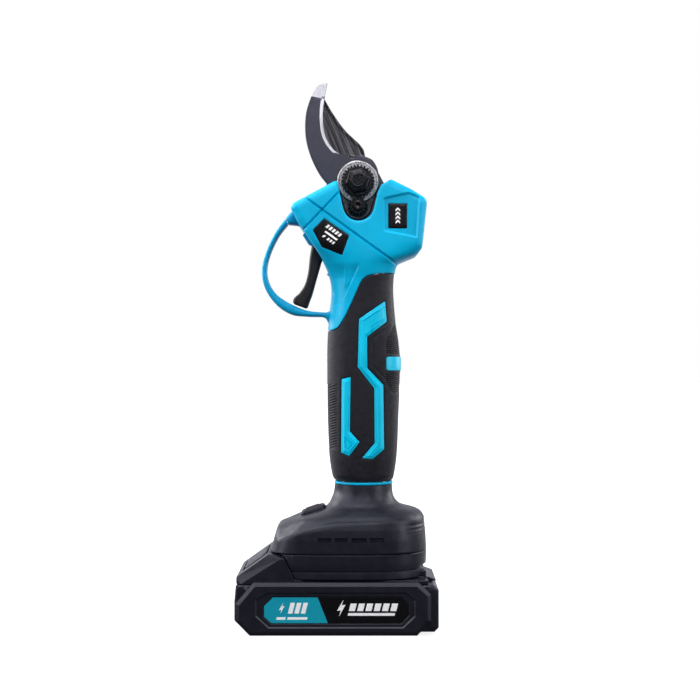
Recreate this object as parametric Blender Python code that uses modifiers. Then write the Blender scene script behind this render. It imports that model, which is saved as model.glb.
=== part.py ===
"""A battery electric pruner: geared cutting head, motor handle, trigger, foot and slide-on battery.

Run with: blender --background --python part.py. Lengths in the tables are millimetres and are scaled by MM
into Blender's metres where a shape is made. X points from the trigger to the back of the hand, Y into the
tool's thickness, Z up. The origin is the middle of the battery's underside, where the tool stands.
"""

from math import asin, atan2, cos, hypot, pi, radians, sin, tan

import bmesh
import bpy
from mathutils import Matrix, Vector

MM = 0.001

# Axes of the drive train
PIVOT = (12.0, 255.0)  # blade bolt, an axis along Y
HANDLE_X = 15.4  # motor, gearbox and handle share a vertical axis
BLADE_TEETH, PINION_TEETH, BLADE_MODULE = 40, 16, 1.0
BEVEL_TEETH, BEVEL_PINION_TEETH, BEVEL_MODULE = 30, 12, 1.0
SUN_TEETH, PLANET_TEETH, RING_TEETH, PLANET_MODULE = 9, 21, 51, 0.47
DRIVE_RADIUS = 13.5  # outside radius of the motor and the gearbox
CROSS_DROP = ((BLADE_TEETH + PINION_TEETH) * BLADE_MODULE / 2) ** 2 - (HANDLE_X - PIVOT[0]) ** 2
CROSS = (HANDLE_X, PIVOT[1] - CROSS_DROP**0.5)  # cross shaft under the pivot, along Y

# Layers through the head, as depths along Y
SHELL_FACE, SHELL_WALL = 21.0, 2.4
HOOK_LAYER = (-7.0, -2.2)
BLADE_LAYER = (-1.8, 2.2)
FRONT_PLATE, FRONT_BOSS = (-10.0, -7.3), -12.0
REAR_PLATE = (11.2, 15.6)
NUT_TEETH, LOCK_TEETH, NUT_MODULE = 28, 16, 0.64
LOCK_Z = PIVOT[1] - (NUT_TEETH + LOCK_TEETH) * NUT_MODULE / 2  # the disc that locks the nut
BEVEL_APEX_Y = 0.0

# Outside corners of the head, seen from the front, anticlockwise from the left shoulder
HEAD_LEFT = [(-1.3, 254.7), (-24.6, 242.4), (-26.5, 239.6), (-22.7, 232.0), (-14.0, 219.2), (-8.9, 211.5),
             (-5.6, 205.0), (-3.6, 196.0)]
HEAD_RIGHT = [(31.0, 196.0), (33.4, 205.4), (35.0, 208.4), (45.6, 213.0), (48.6, 216.8), (51.6, 244.4),
              (42.6, 250.0), (30.8, 255.8)]
NOTCH_FLOOR, NOTCH_RADIUS, NOTCH_LEFT_TOP = (12.3, 240.9), 8.9, -4.3
NOTCH_RIGHT = [(22.2, 243.9), (23.2, 247.9), (25.2, 252.2), (29.0, 254.7), (34.0, 257.0), (34.0, 275.0)]
# Handle sections: height, front edge, back edge, half depth
HANDLE = [(83.4, -0.9, 31.7, 16.3), (87.0, -2.8, 33.0, 17.4), (100.0, -4.6, 34.7, 18.6),
          (122.0, -5.5, 35.6, 19.3), (148.0, -5.7, 36.6, 19.5), (162.0, -5.6, 35.9, 19.3),
          (176.0, -4.8, 33.8, 18.9), (191.0, -3.3, 32.6, 18.8), (200.0, -4.2, 32.8, 19.2),
          (207.0, -6.4, 34.0, 19.8)]
RUBBER = 1.8  # thickness of the moulded rubber skin
RUBBER_GAP = 0.15
TUBE_WALL = 2.35
SEAM = 0.1  # each half of the housing stops this far from the tool's middle plane
RUBBER_EDGE = [(-30.0, 169.6), (-2.9, 169.9), (0.7, 171.3), (4.3, 177.1), (8.6, 185.8), (12.3, 194.5),
               (14.4, 198.8), (17.3, 201.0), (23.2, 202.1), (60.0, 204.6)]

# Small parts
GUARD_WIDTH, TRIGGER_WIDTH = 11.0, 9.0
TRIGGER_PIN = (-7.0, 218.6)
PILLARS = [(-2.6, 232.3), (33.4, 232.3)]
HOOK_SCREWS = [(-4.0, 245.8), (-2.8, 239.8)]
# Screws that close the housing: x, z and how far their posts reach into each half
HOUSING_SCREWS = [(-19.5, 238.4, 19.8), (45.0, 241.5, 19.8), (42.6, 218.8, 19.8), (15.4, 142.6, 16.6),
                  (15.4, 88.5, 14.6)]
COLLAR_Z = 82.2

# Foot and battery
FOOT_BOTTOM, FOOT_SPLIT, FOOT_TOP = 30.4, 44.6, 81.4
FOOT_HALF = 35.0
FOOT_SECTIONS = [(44.75, -37.6, 51.6, 35.0), (52.0, -35.8, 51.2, 35.0), (58.0, -34.0, 50.8, 34.2),
                 (60.2, -31.0, 50.5, 33.0), (62.5, -23.0, 50.2, 31.0), (65.0, -14.2, 49.0, 28.0),
                 (67.2, -7.6, 45.6, 24.6), (69.6, -4.9, 37.2, 20.6), (72.8, -3.3, 33.6, 18.4),
                 (76.5, -1.9, 32.2, 17.3), (FOOT_TOP, -1.2, 31.8, 16.6)]
BATTERY_HALF, PANEL_HALF, BATTERY_END = 33.8, 37.0, 57.0
TUB_TOP = 27.6
CELL_RADIUS, CELL_LENGTH, CELL_PITCH, CELL_Z = 9.1, 65.0, 19.3, 14.6
LATCH_BLOCK = [(-56.2, 27.8), (-50.0, 27.9), (-20.0, 27.9), (-17.9, 30.0), (-23.1, 30.4), (-29.3, 43.0),
               (-38.3, 44.3), (-56.2, 31.6)]
LATCH_SIDE = [(-53.0, 27.8), (-50.0, 27.9), (-20.4, 27.9), (-18.6, 30.0), (-23.4, 30.4), (-29.5, 42.0),
              (-31.4, 42.2), (-53.0, 28.4)]
LATCH_TOP, LATCH_FOOT = Vector((-38.3, 0, 44.3)), Vector((-56.2, 0, 31.6))
BUTTON_LOW, BUTTON_HIGH = Vector((-18.8, 0, 62.5)), Vector((-7.4, 0, 66.4))



# Scene helpers


def clear_scene():
    for item in list(bpy.data.objects):
        bpy.data.objects.remove(item, do_unlink=True)


def new_collection(name):
    made = bpy.data.collections.new(name)
    bpy.context.scene.collection.children.link(made)
    return made


def material(name, colour, roughness, metallic=0.0):
    made = bpy.data.materials.new(name)
    made.use_nodes = True
    shader = made.node_tree.nodes["Principled BSDF"]
    shader.inputs["Base Color"].default_value = (*colour, 1.0)
    shader.inputs["Roughness"].default_value = roughness
    shader.inputs["Metallic"].default_value = metallic
    return made


def place(mesh, name, look=None):
    """Links a mesh as a part when it has a look, or else as a cutter that no render shows."""
    made = bpy.data.objects.new(name, mesh)
    (PARTS if look else CUTTERS).objects.link(made)
    if look:
        mesh.materials.append(look)
        mesh.shade_smooth()
        mesh.set_sharp_from_angle(angle=radians(35))
    else:
        made.hide_render = True
        made.display_type = "WIRE"
    return made


def mesh_from(builder, name):
    mesh = bpy.data.meshes.new(name)
    builder.to_mesh(mesh)
    builder.free()
    return mesh


def boolean(part, operation, others):
    for other in others:
        step = part.modifiers.new(operation.title() + " " + other.name, "BOOLEAN")
        step.operation = operation
        step.object = other
        step.solver = "EXACT"
    return part


def cut(part, *cutters):
    return boolean(part, "DIFFERENCE", cutters)


def join(part, *others):
    return boolean(part, "UNION", others)


def trim(part, *others):
    return boolean(part, "INTERSECT", others)


def bevel(part, width, segments=2, angle=40):
    step = part.modifiers.new("Edge round", "BEVEL")
    step.width = width * MM
    step.segments = segments
    step.limit_method = "ANGLE"
    step.angle_limit = radians(angle)
    return part


def hang_on(name, point, *parts):
    """Parents moving parts to an empty that stands on their joint's axis."""
    axle = bpy.data.objects.new(name, None)
    axle.location = Vector(point) * MM
    PARTS.objects.link(axle)
    bpy.context.view_layer.update()
    for part in parts:
        part.parent = axle
        part.matrix_parent_inverse = axle.matrix_world.inverted()


# Shapes


def prism(name, outline, near, far, look=None, holes=()):
    """A flat outline in X and Z, as thick as the depths near to far, with any holes through it."""
    curve = bpy.data.curves.new(name, "CURVE")
    curve.dimensions = "2D"
    curve.fill_mode = "BOTH"
    curve.extrude = (far - near) / 2 * MM
    for loop in (outline, *holes):
        spline = curve.splines.new("POLY")
        spline.points.add(len(loop) - 1)
        for point, (x, z) in zip(spline.points, loop):
            point.co = (x * MM, z * MM, 0, 1)
        spline.use_cyclic_u = True
    source = bpy.data.objects.new(name, curve)
    source.matrix_world = Matrix.Translation((0, (near + far) / 2 * MM, 0)) @ Matrix.Rotation(pi / 2, 4, "X")
    return meshed(source, name, look)


def meshed(source, name, look):
    """The curve object as a mesh with its caps welded on."""
    bpy.context.scene.collection.objects.link(source)
    bpy.context.view_layer.update()
    graph = bpy.context.evaluated_depsgraph_get()
    builder = bmesh.new()
    builder.from_mesh(bpy.data.meshes.new_from_object(source.evaluated_get(graph)))
    builder.transform(source.matrix_world)
    bmesh.ops.remove_doubles(builder, verts=builder.verts, dist=1e-6)
    bmesh.ops.recalc_face_normals(builder, faces=builder.faces)
    bpy.data.objects.remove(source)
    return place(mesh_from(builder, name), name, look)


def box(name, low, high, look=None):
    low, high = Vector(low) * MM, Vector(high) * MM
    builder = bmesh.new()
    bmesh.ops.create_cube(builder, size=1)
    builder.transform(Matrix.Translation((low + high) / 2) @ Matrix.Diagonal((*(high - low), 1)))
    return place(mesh_from(builder, name), name, look)


TURN = {"X": Matrix.Rotation(pi / 2, 4, "Y"), "Y": Matrix.Rotation(-pi / 2, 4, "X"), "Z": Matrix.Identity(4)}


def rod(name, radius, start, length, axis="Y", look=None, sides=20, end_radius=None):
    """A cylinder, or a cone with end_radius, from the point start along an axis."""
    builder = bmesh.new()
    top = radius if end_radius is None else end_radius
    bmesh.ops.create_cone(builder, cap_ends=True, segments=sides, radius1=radius * MM, radius2=top * MM,
                          depth=length * MM)
    builder.transform(Matrix.Translation(Vector(start) * MM) @ TURN[axis]
                      @ Matrix.Translation((0, 0, length / 2 * MM)))
    return place(mesh_from(builder, name), name, look)


def loft(name, rings, look=None, closed=False):
    """Skins rings of equal count. The ends are capped, or joined to each other when closed."""
    builder = bmesh.new()
    rows = [[builder.verts.new(Vector(point) * MM) for point in points] for points in rings]
    pairs = list(zip(rows, rows[1:] + rows[:1] if closed else rows[1:]))
    for lower, upper in pairs:
        for i in range(len(lower)):
            j = (i + 1) % len(lower)
            builder.faces.new((lower[i], lower[j], upper[j], upper[i]))
    if not closed:
        builder.faces.new(rows[0])
        builder.faces.new(rows[-1])
    bmesh.ops.recalc_face_normals(builder, faces=builder.faces)
    return place(mesh_from(builder, name), name, look)


def ring(name, outer, inner, start, length, axis="Y", look=None, steps=20):
    """A plain ring or tube, from the point start along an axis: a profile at +X turned round."""
    builder = bmesh.new()
    profile = ((outer, length), (outer, 0), (inner, 0), (inner, length))
    corners = [builder.verts.new((radius * MM, 0, height * MM)) for radius, height in profile]
    for first, second in zip(corners, corners[1:] + corners[:1]):
        builder.edges.new((first, second))
    made = place(mesh_from(builder, name), name, look)
    made.matrix_world = Matrix.Translation(Vector(start) * MM) @ TURN[axis]
    turn = made.modifiers.new("Turn", "SCREW")
    turn.steps = turn.render_steps = steps
    return made


def circle(centre, radius, count=24, start=0.0, end=2 * pi):
    """Points of an arc, without its last point when it is a whole circle."""
    whole = abs(end - start) > 6.28
    steps = count if whole else count - 1
    return [(centre[0] + radius * cos(start + (end - start) * i / steps),
             centre[1] + radius * sin(start + (end - start) * i / steps)) for i in range(count)]


def hull(points):
    """The convex outline around some points, anticlockwise."""
    points = sorted(set((round(x, 4), round(z, 4)) for x, z in points))

    def half(ordered):
        chain = []
        for p in ordered:
            while len(chain) > 1 and ((chain[-1][0] - chain[-2][0]) * (p[1] - chain[-2][1])
                                      - (chain[-1][1] - chain[-2][1]) * (p[0] - chain[-2][0])) <= 0:
                chain.pop()
            chain.append(p)
        return chain[:-1]

    outline = half(points) + half(points[::-1])
    spaced = []
    for point, before in zip(outline, outline[-1:] + outline[:-1]):
        if hypot(point[0] - before[0], point[1] - before[1]) > 0.3:
            spaced.append(point)
    return spaced


def inset(outline, distance):
    """The anticlockwise outline moved inwards by a distance, corner by corner."""
    moved = []
    for i, (x, z) in enumerate(outline):
        before, after = outline[i - 1], outline[(i + 1) % len(outline)]
        a = Vector((x - before[0], z - before[1])).normalized()
        b = Vector((after[0] - x, after[1] - z)).normalized()
        normal = Vector((-a.y - b.y, a.x + b.x)).normalized()
        reach = distance / max(0.35, normal.dot(Vector((-a.y, a.x))))
        moved.append((x + normal.x * reach, z + normal.y * reach))
    return moved


def smooth_line(points, count):
    """Points at even steps along a Catmull-Rom curve through a few given points."""
    ends = [points[0], *points, points[-1]]
    line = []
    for i in range(count):
        place_on = i / (count - 1) * (len(points) - 1)
        k = min(int(place_on), len(points) - 2)
        t = place_on - k
        weights = (-t**3 + 2 * t**2 - t, 3 * t**3 - 5 * t**2 + 2, -3 * t**3 + 4 * t**2 + t, t**3 - t**2)
        line.append(tuple(sum(w * p[axis] for w, p in zip(weights, ends[k:k + 4])) / 2 for axis in (0, 1)))
    return line


# Gears


def tooth_angles(teeth, module, share, addendum, dedendum):
    """Half angles of a straight-flanked 20 degree tooth at its root and its tip."""
    radius = teeth * module / 2
    middle = share * pi / teeth
    slope = tan(radians(20)) / radius
    return middle + slope * dedendum * 0.55, middle - slope * addendum


def gear_outline(teeth, module, centre=(0, 0), phase=0.0, share=0.43, first=0, last=None, inside=False):
    """Tooth corners of a spur gear, one tooth centred on phase. Inside makes a ring gear's spaces."""
    add, ded = (1.12 * module, 0.86 * module) if inside else (0.86 * module, 1.1 * module)
    share = 1 - share if inside else share
    radius = teeth * module / 2
    root_half, tip_half = tooth_angles(teeth, module, share, add, ded)
    points = []
    for k in range(first, teeth if last is None else last):
        middle = phase + 2 * pi * k / teeth
        for reach, turn in ((radius - ded, -root_half), (radius + add, -tip_half),
                            (radius + add, tip_half), (radius - ded, root_half)):
            points.append((centre[0] + reach * cos(middle + turn), centre[1] + reach * sin(middle + turn)))
    return points


def bevel_wheel(name, teeth, mate, module, face, bore, hub, phase, frame, look):
    """A straight bevel gear. Its cone's apex is the frame's origin and its axis is the frame's Z."""
    radius, depth = teeth * module / 2, mate * module / 2
    cone = hypot(radius, depth)
    radial, axial = depth / cone, radius / cone
    root_half, tip_half = tooth_angles(teeth, module, 0.4, 0.8 * module, 1.1 * module)
    small = (cone - face) / cone

    def tooth_ring(scale):
        points = []
        for k in range(teeth):
            middle = phase + 2 * pi * k / teeth
            for height, turn in ((-1.1, -root_half), (0.8, -tip_half), (0.8, tip_half), (-1.1, root_half)):
                reach = (radius + height * module * radial) * scale
                points.append((reach * cos(middle + turn), reach * sin(middle + turn),
                               (depth - height * module * axial) * scale))
        return points

    def round_ring(like, reach, height):
        return [(reach * cos(atan2(y, x)), reach * sin(atan2(y, x)), height) for x, y, _ in like]

    large, little = tooth_ring(1), tooth_ring(small)
    back = depth + 1.1 * module * axial + hub
    rings = [little, large, round_ring(large, radius - 1.6 * module, back), round_ring(large, bore, back),
             round_ring(large, bore, little[0][2] + 0.3)]
    return loft(name, [[frame @ Vector(p) for p in points] for points in rings], look, closed=True)


# The head and the handle


def notch_outline(grow=0.0):
    """The notch that bares the blade bolt: a round floor and nearly straight sides, open at the top."""
    floor = circle(NOTCH_FLOOR, NOTCH_RADIUS + grow, 9, radians(194), radians(346))
    right = [(x + grow, z) for x, z in NOTCH_RIGHT]
    return [(NOTCH_LEFT_TOP - grow, 275), *floor, *right]


def section(height, front, back, half_depth, shrink=0.0, count=24):
    """A slice of the handle: a squarish oval, or a circle where the handle enters the foot."""
    power = 2.0 if height < HANDLE[1][0] else 2.5
    middle, reach = (front + back) / 2, (back - front) / 2 - shrink
    points = []
    for i in range(count):
        turn = 2 * pi * i / count
        x, y = cos(turn), sin(turn)
        points.append((middle + reach * abs(x) ** (2 / power) * (1 if x > 0 else -1),
                       (half_depth - shrink) * abs(y) ** (2 / power) * (1 if y > 0 else -1), height))
    return points


def handle_loft(name, shrink, low=None, high=None):
    rows = [list(row) for row in HANDLE]
    if low is not None:
        rows.insert(0, [low, *rows[0][1:]])
    if high is not None:
        rows.append([high, *rows[-1][1:]])
    return loft(name, [section(*row, shrink=shrink) for row in rows])


def rubber_band(name, above, offset):
    """The region above or below the slanting upper edge of the rubber, moved down by an offset."""
    edge = [(x, z - offset) for x, z in RUBBER_EDGE]
    far = 300 if above else 60
    return prism(name, edge + [(60, far), (-30, far)], -30, 30)


def head_block(name, shrink, depth, soften):
    """The head's outline as a block. Its long edges are rounded by the radius soften."""
    outline = HEAD_LEFT + HEAD_RIGHT
    if not soften:
        return prism(name, inset(outline, shrink), -depth, depth)
    layers = []
    for side in (-1, 1):
        turns = [0, pi / 6, pi / 3, pi / 2] if side > 0 else [pi / 2, pi / 3, pi / 6, 0]
        for turn in turns:
            ring_points = inset(outline, shrink + soften * (1 - cos(turn)))
            y = side * (depth - soften + soften * sin(turn))
            layers.append([(x, y, z) for x, z in ring_points])
    return loft(name, layers)


def beyond_seam(name, side):
    """All that belongs to the other half of the housing."""
    low, high = (-SEAM, 40) if side < 0 else (-40, SEAM)
    return box(name, (-80, low, 60), (80, high, 300))


def bring_out(part, look):
    """Makes a part of an object that was built among the cutters."""
    part.data.materials.append(look)
    CUTTERS.objects.unlink(part)
    PARTS.objects.link(part)
    part.hide_render = False
    part.display_type = "TEXTURED"


def housing_half(side):
    """One moulded shell of the head and handle. Side is -1 for the front half and 1 for the rear."""
    label = "front" if side < 0 else "rear"
    shell = head_block("housing_" + label, 0, SHELL_FACE, 4.0)
    tag = " for " + label
    join(shell, handle_loft("handle top" + tag, 0))
    trim(shell, rubber_band("blue region" + tag, True, 0))
    join(shell, handle_loft("handle tube" + tag, RUBBER + RUBBER_GAP, low=76.0), *guard_stubs(tag))
    hollow = head_block("head hollow" + tag, SHELL_WALL, SHELL_FACE - SHELL_WALL, 0)
    cut(hollow, prism("notch wall" + tag, notch_outline(SHELL_WALL), -30, 30))
    cut(shell, prism("notch" + tag, notch_outline(), -30, 30), hollow,
        handle_loft("handle hollow" + tag, RUBBER + TUBE_WALL, low=70.0, high=209.0),
        *head_pockets(tag, side))
    join(shell, *screw_posts(tag, side))
    cut(shell, *screw_holes(tag, side), *trigger_bores(tag, side))
    cut(shell, beyond_seam("other half" + tag, side))
    bring_out(shell, TEAL)


def guard_stubs(tag):
    """Roots that the trigger guard plugs on to, and the stop tab above the trigger."""
    half = GUARD_WIDTH / 2
    upper = [(-18.0, 238.0), (-24.0, 240.6), (-29.5, 235.1), (-27.8, 231.4), (-20.5, 230.6)]
    lower = [(-8.1, 180.5), (-7.9, 178.6), (-5.4, 173.6), (-3.0, 173.6), (-2.6, 184.4), (-4.6, 182.0)]
    tab = [(-19.9, 225.2), (-18.8, 226.2), (-13.0, 222.4), (-13.0, 219.0), (-16.6, 219.9)]
    return [prism("upper stub" + tag, upper, -half, half), prism("lower stub" + tag, lower, -half, half),
            prism("stop tab" + tag, tab, -4, 4)]


def head_pockets(tag, side):
    """Room for the blades, the gear case, the bevel gear and the trigger inside the walls."""
    slot = rod("blade slot" + tag, 22.6, (PIVOT[0], -8.0, PIVOT[1]), 11.4, sides=32)
    plate = prism("plate room" + tag, case_outline(0.5), -10.4, 0) if side < 0 else prism(
        "plate room" + tag, case_outline(0.5), 0, 16.0)
    gear = rod("bevel room" + tag, 17.4, (CROSS[0], -10.4, CROSS[1]), 26.4, sides=28)
    trigger = prism("trigger slot" + tag, [(-19.5, 223.6), (-9.5, 224.6), (-1.0, 205.0), (-12.0, 200.5)],
                    -TRIGGER_WIDTH / 2 - 0.5, TRIGGER_WIDTH / 2 + 0.5)
    boss = prism("boss room" + tag, boss_outline(0.4), -14.0, 0)
    drive = rod("drive room" + tag, DRIVE_RADIUS + 0.4, (HANDLE_X, 0, 145), 62, "Z", sides=28)
    return [slot, plate, gear, trigger, boss, drive]


def screw_posts(tag, side):
    posts = [rod(f"post {i}{tag}", 3.1, (x, 0 if side > 0 else -reach, z), reach, sides=12)
             for i, (x, z, reach) in enumerate(HOUSING_SCREWS)]
    start = 7.2 if side > 0 else -19.4
    hub = rod("pin post" + tag, 3.0, (TRIGGER_PIN[0], start, TRIGGER_PIN[1]), 12.2, sides=12)
    return [*posts, hub]


def screw_holes(tag, side):
    holes = []
    for i, (x, z, reach) in enumerate(HOUSING_SCREWS):
        holes.append(rod(f"screw hole {i}{tag}", 1.5, (x, 2.4 - reach, z), 40, sides=12))
        if side > 0:
            holes.append(rod(f"head hole {i}{tag}", 2.5, (x, reach - 4.4, z), 12, sides=12))
    return holes


def trigger_bores(tag, side):
    return [rod("pin bore" + tag, 1.75, (TRIGGER_PIN[0], -10.4, TRIGGER_PIN[1]), 20.8, sides=12)]


def grip_half(side):
    """One half of the rubber skin moulded round the handle."""
    label = "front" if side < 0 else "rear"
    tag = " for grip " + label
    skin = handle_loft("grip_rubber_" + label, 0)
    cut(skin, handle_loft("skin bore" + tag, RUBBER, low=60.0, high=230.0),
        rubber_band("skin top" + tag, True, 2 * RUBBER_GAP), beyond_seam("skin other half" + tag, side))
    if side > 0:
        cut(skin, *[rod(f"skin hole {i}{tag}", 3.2, (x, 10, z), 20, sides=12)
                    for i, (x, z, _) in enumerate(HOUSING_SCREWS[3:])])
    bring_out(skin, RUBBER_BLACK)


def housing_screws():
    for i, (x, z, reach) in enumerate(HOUSING_SCREWS):
        head = rod(f"housing_screw_{i + 1}", 2.2, (x, reach - 4.1, z), 1.9, look=BLACK_STEEL, sides=12)
        join(head, rod(f"shank {i}", 1.25, (x, 2.8 - reach, z), 2 * reach - 6.5, sides=10))
        cut(head, rod(f"socket {i}", 1.0, (x, reach - 3.2, z), 3.0, sides=6))


def trigger_guard():
    """The hoop in front of the trigger, of rectangular section with soft edges."""
    outer = smooth_line([(-29.9, 234.6), (-35.6, 226.8), (-41.0, 215.6), (-43.5, 204.6), (-41.6, 194.2),
                         (-35.2, 184.9), (-26.6, 179.2), (-17.0, 178.0), (-8.4, 178.6)], 26)
    inner = smooth_line([(-8.5, 180.5), (-17.6, 182.1), (-26.8, 185.4), (-34.8, 190.8), (-39.2, 197.6),
                         (-40.4, 205.4), (-38.2, 214.6), (-33.4, 224.4), (-28.1, 231.2)], 26)
    hoop = prism("trigger_guard", outer + inner, -GUARD_WIDTH / 2, GUARD_WIDTH / 2, TEAL)
    bevel(hoop, 0.8, 1, 60)


def case_outline(grow=0.0):
    """The gear case's plates: one convex outline round the pivot, the hook's screws and the two pillars."""
    points = circle(PIVOT, 12.9 + grow, 24) + circle((-3.0, 242.6), 5.5 + grow, 12)
    for pillar in PILLARS:
        points += circle(pillar, 4.6 + grow, 12)
    return hull(points + circle(CROSS, 8.6 + grow, 16))


def boss_outline(grow=0.0):
    return hull(circle(PIVOT, 12.2 + grow, 28) + circle((PIVOT[0], LOCK_Z), 8.0 + grow, 20))


def gear_case():
    """Two plates that hold the pivot bolt and the cross shaft, kept apart by two pillars."""
    front = prism("front_case_plate", case_outline(), *FRONT_PLATE, ALLOY)
    boss = prism("case boss", boss_outline(), FRONT_BOSS, -9.0)
    join(front, boss)
    cut(front, rod("front bolt hole", 4.3, (PIVOT[0], -14, PIVOT[1]), 12),
        rod("front bearing seat", 6.7, (CROSS[0], -9.0, CROSS[1]), 4, sides=20),
        rod("lock screw hole", 1.7, (PIVOT[0], -14, LOCK_Z), 6, sides=12),
        *[rod(f"hook screw hole {i}", 1.7, (x, -14, z), 8, sides=12)
          for i, (x, z) in enumerate(HOOK_SCREWS)],
        *[rod(f"pillar hole {i}", 1.5, (x, -14, z), 8, sides=10) for i, (x, z) in enumerate(PILLARS)])

    rear = prism("rear_case_plate", case_outline(), *REAR_PLATE, ALLOY)
    join(rear, rod("bolt boss", 8.8, (PIVOT[0], 2.6, PIVOT[1]), 9.6, sides=24),
         *[ring(f"pillar {i}", 2.5, 1.1, (x, -6.9, z), 19.0, steps=14) for i, (x, z) in enumerate(PILLARS)])
    cut(rear, rod("rear bolt hole", 4.3, (PIVOT[0], 0, PIVOT[1]), 20),
        rod("rear bearing seat", 6.7, (CROSS[0], 10.0, CROSS[1]), 4.2, sides=20))

    for i, (x, z) in enumerate(PILLARS):
        screw = rod(f"case_screw_{i + 1}", 2.4, (x, -12.0, z), 1.7, look=STEEL, sides=12)
        join(screw, rod(f"case shank {i}", 0.95, (x, -10.6, z), 9.0, sides=10))


def blade_bolt():
    """The pivot bolt with its washer, toothed nut, and the small toothed disc that locks the nut."""
    bolt = rod("pivot_bolt", 4.0, (PIVOT[0], -20.2, PIVOT[1]), 36.6, look=BLACK_STEEL, sides=20)
    join(bolt, rod("bolt head", 7.4, (PIVOT[0], 16.0, PIVOT[1]), 4.2, sides=6))
    ring("pivot_washer", 11.8, 4.3, (PIVOT[0], -13.4, PIVOT[1]), 1.1, look=STEEL, steps=28)
    teeth = gear_outline(NUT_TEETH, NUT_MODULE, PIVOT, 0.0, 0.46)
    flange = prism("blade_nut", teeth, -16.4, -13.7, BLACK_STEEL)
    join(flange, rod("nut hex", 7.2, (PIVOT[0], -19.2, PIVOT[1]), 3.2, sides=6))
    cut(flange, rod("nut bore", 4.25, (PIVOT[0], -22, PIVOT[1]), 12))
    gap_up = pi / 2 + pi / LOCK_TEETH
    teeth = gear_outline(LOCK_TEETH, NUT_MODULE, (PIVOT[0], LOCK_Z), gap_up, 0.42)
    disc = prism("lock_gear", teeth, -16.2, -13.7, BLACK_STEEL)
    join(disc, rod("lock spacer", 2.1, (PIVOT[0], -14.4, LOCK_Z), 2.1, sides=16))
    cut(disc, rod("lock bore", 1.45, (PIVOT[0], -20, LOCK_Z), 12, sides=12))
    screw = rod("lock_screw", 2.9, (PIVOT[0], -18.6, LOCK_Z), 2.1, look=BLACK_STEEL, sides=16)
    join(screw, rod("lock shank", 1.2, (PIVOT[0], -17.0, LOCK_Z), 8.4, sides=10))
    cut(screw, rod("lock socket", 1.4, (PIVOT[0], -20, LOCK_Z), 2.6, sides=6))


def blade_hub(radius, count, start, end):
    """A blade's round hub, which draws in on its right side, beside the case."""
    points = []
    for i in range(count):
        angle = start + (end - start) * i / (count - 1)
        share = min(1.0, max(0.0, (angle - 22) / 36))
        reach, turn = 12.9 + (radius - 12.9) * share, radians(angle)
        points.append((PIVOT[0] + reach * cos(turn), PIVOT[1] + reach * sin(turn)))
    return points


def hook_blade():
    """The fixed hooked blade, a thick plate clamped to the front of the gear case."""
    inner = smooth_line([(-5.6, 312.2), (-7.3, 303.4), (-8.2, 294.0), (-7.1, 283.2), (-3.3, 275.8),
                         (1.6, 271.8), (7.4, 270.8)], 16)
    outer = smooth_line([(-5.8, 254.4), (-10.6, 260.8), (-15.4, 270.8), (-18.1, 281.6), (-18.0, 294.0),
                         (-15.2, 303.8), (-12.0, 310.6), (-8.2, 312.6)], 16)
    hub = blade_hub(15.6, 18, 88, -120)
    tail = circle(HOOK_SCREWS[1], 3.6, 6, radians(-60), radians(-160)) + circle(
        HOOK_SCREWS[0], 4.8, 4, radians(200), radians(150))
    blade = prism("fixed_blade", inner + hub + tail + outer, *HOOK_LAYER, BLADE_DARK)
    cut(blade, rod("hook bolt hole", 4.3, (PIVOT[0], -10, PIVOT[1]), 10),
        *[rod(f"hook thread {i}", 1.5, (x, -10, z), 10, sides=12) for i, (x, z) in enumerate(HOOK_SCREWS)])
    for i, (x, z) in enumerate(HOOK_SCREWS):
        screw = rod(f"hook_screw_{i + 1}", 2.4, (x, -12.0, z), 1.7, look=STEEL, sides=12)
        join(screw, rod(f"hook shank {i}", 1.3, (x, -10.6, z), 7.6, sides=10))


def moving_blade():
    """The cutting blade, with its gear sector under the pivot. At rest it lies shut behind the hook."""
    mesh_line = atan2(CROSS[1] - PIVOT[1], CROSS[0] - PIVOT[0])
    back = smooth_line([(-7.2, 303.8), (-2.4, 295.6), (4.7, 285.8), (12.6, 278.2), (15.4, 274.6)], 12)
    edge = smooth_line([(-2.6, 259.0), (-8.4, 268.4), (-12.2, 279.0), (-12.6, 290.0), (-10.4, 299.0),
                        (-7.8, 303.6)], 12)
    sector = gear_outline(BLADE_TEETH, BLADE_MODULE, PIVOT, mesh_line, first=-2, last=8)
    hub_right = blade_hub(15.0, 7, 72, 8)
    hub_left = circle(PIVOT, 15.0, 5, radians(248), radians(182))
    outline = back + hub_right + sector[::-1] + hub_left + edge
    blade = prism("moving_blade", outline, *BLADE_LAYER, BLADE_DARK)
    cut(blade, rod("blade bolt hole", 4.15, (PIVOT[0], -5, PIVOT[1]), 10))
    hang_on("blade_axis", (PIVOT[0], 0, PIVOT[1]), blade)


def cross_shaft():
    """The shaft that carries the blade's pinion and the large bevel gear, with its two ball bearings."""
    up = atan2(PIVOT[1] - CROSS[1], PIVOT[0] - CROSS[0]) + pi / PINION_TEETH
    shaft = prism("pinion_shaft", gear_outline(PINION_TEETH, BLADE_MODULE, CROSS, up), -2.2, 2.6, STEEL)
    join(shaft, rod("shaft core", 3.0, (CROSS[0], -8.6, CROSS[1]), 22.2, sides=16))
    # The wheel's local Z is +Y, and its tooth 0 points down at the bevel pinion
    frame = Matrix.Translation((CROSS[0], BEVEL_APEX_Y, CROSS[1])) @ TURN["Y"]
    wheel = bevel_wheel("bevel_gear", BEVEL_TEETH, BEVEL_PINION_TEETH, BEVEL_MODULE, 4.6, 3.15, 1.2, pi / 2,
                        frame, STEEL)
    hang_on("cross_axis", (CROSS[0], 0, CROSS[1]), shaft, wheel)
    ring("front_shaft_bearing", 6.5, 3.2, (CROSS[0], -8.8, CROSS[1]), 3.4, look=STEEL)
    ring("rear_shaft_bearing", 6.5, 3.2, (CROSS[0], 10.4, CROSS[1]), 3.6, look=STEEL)


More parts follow.
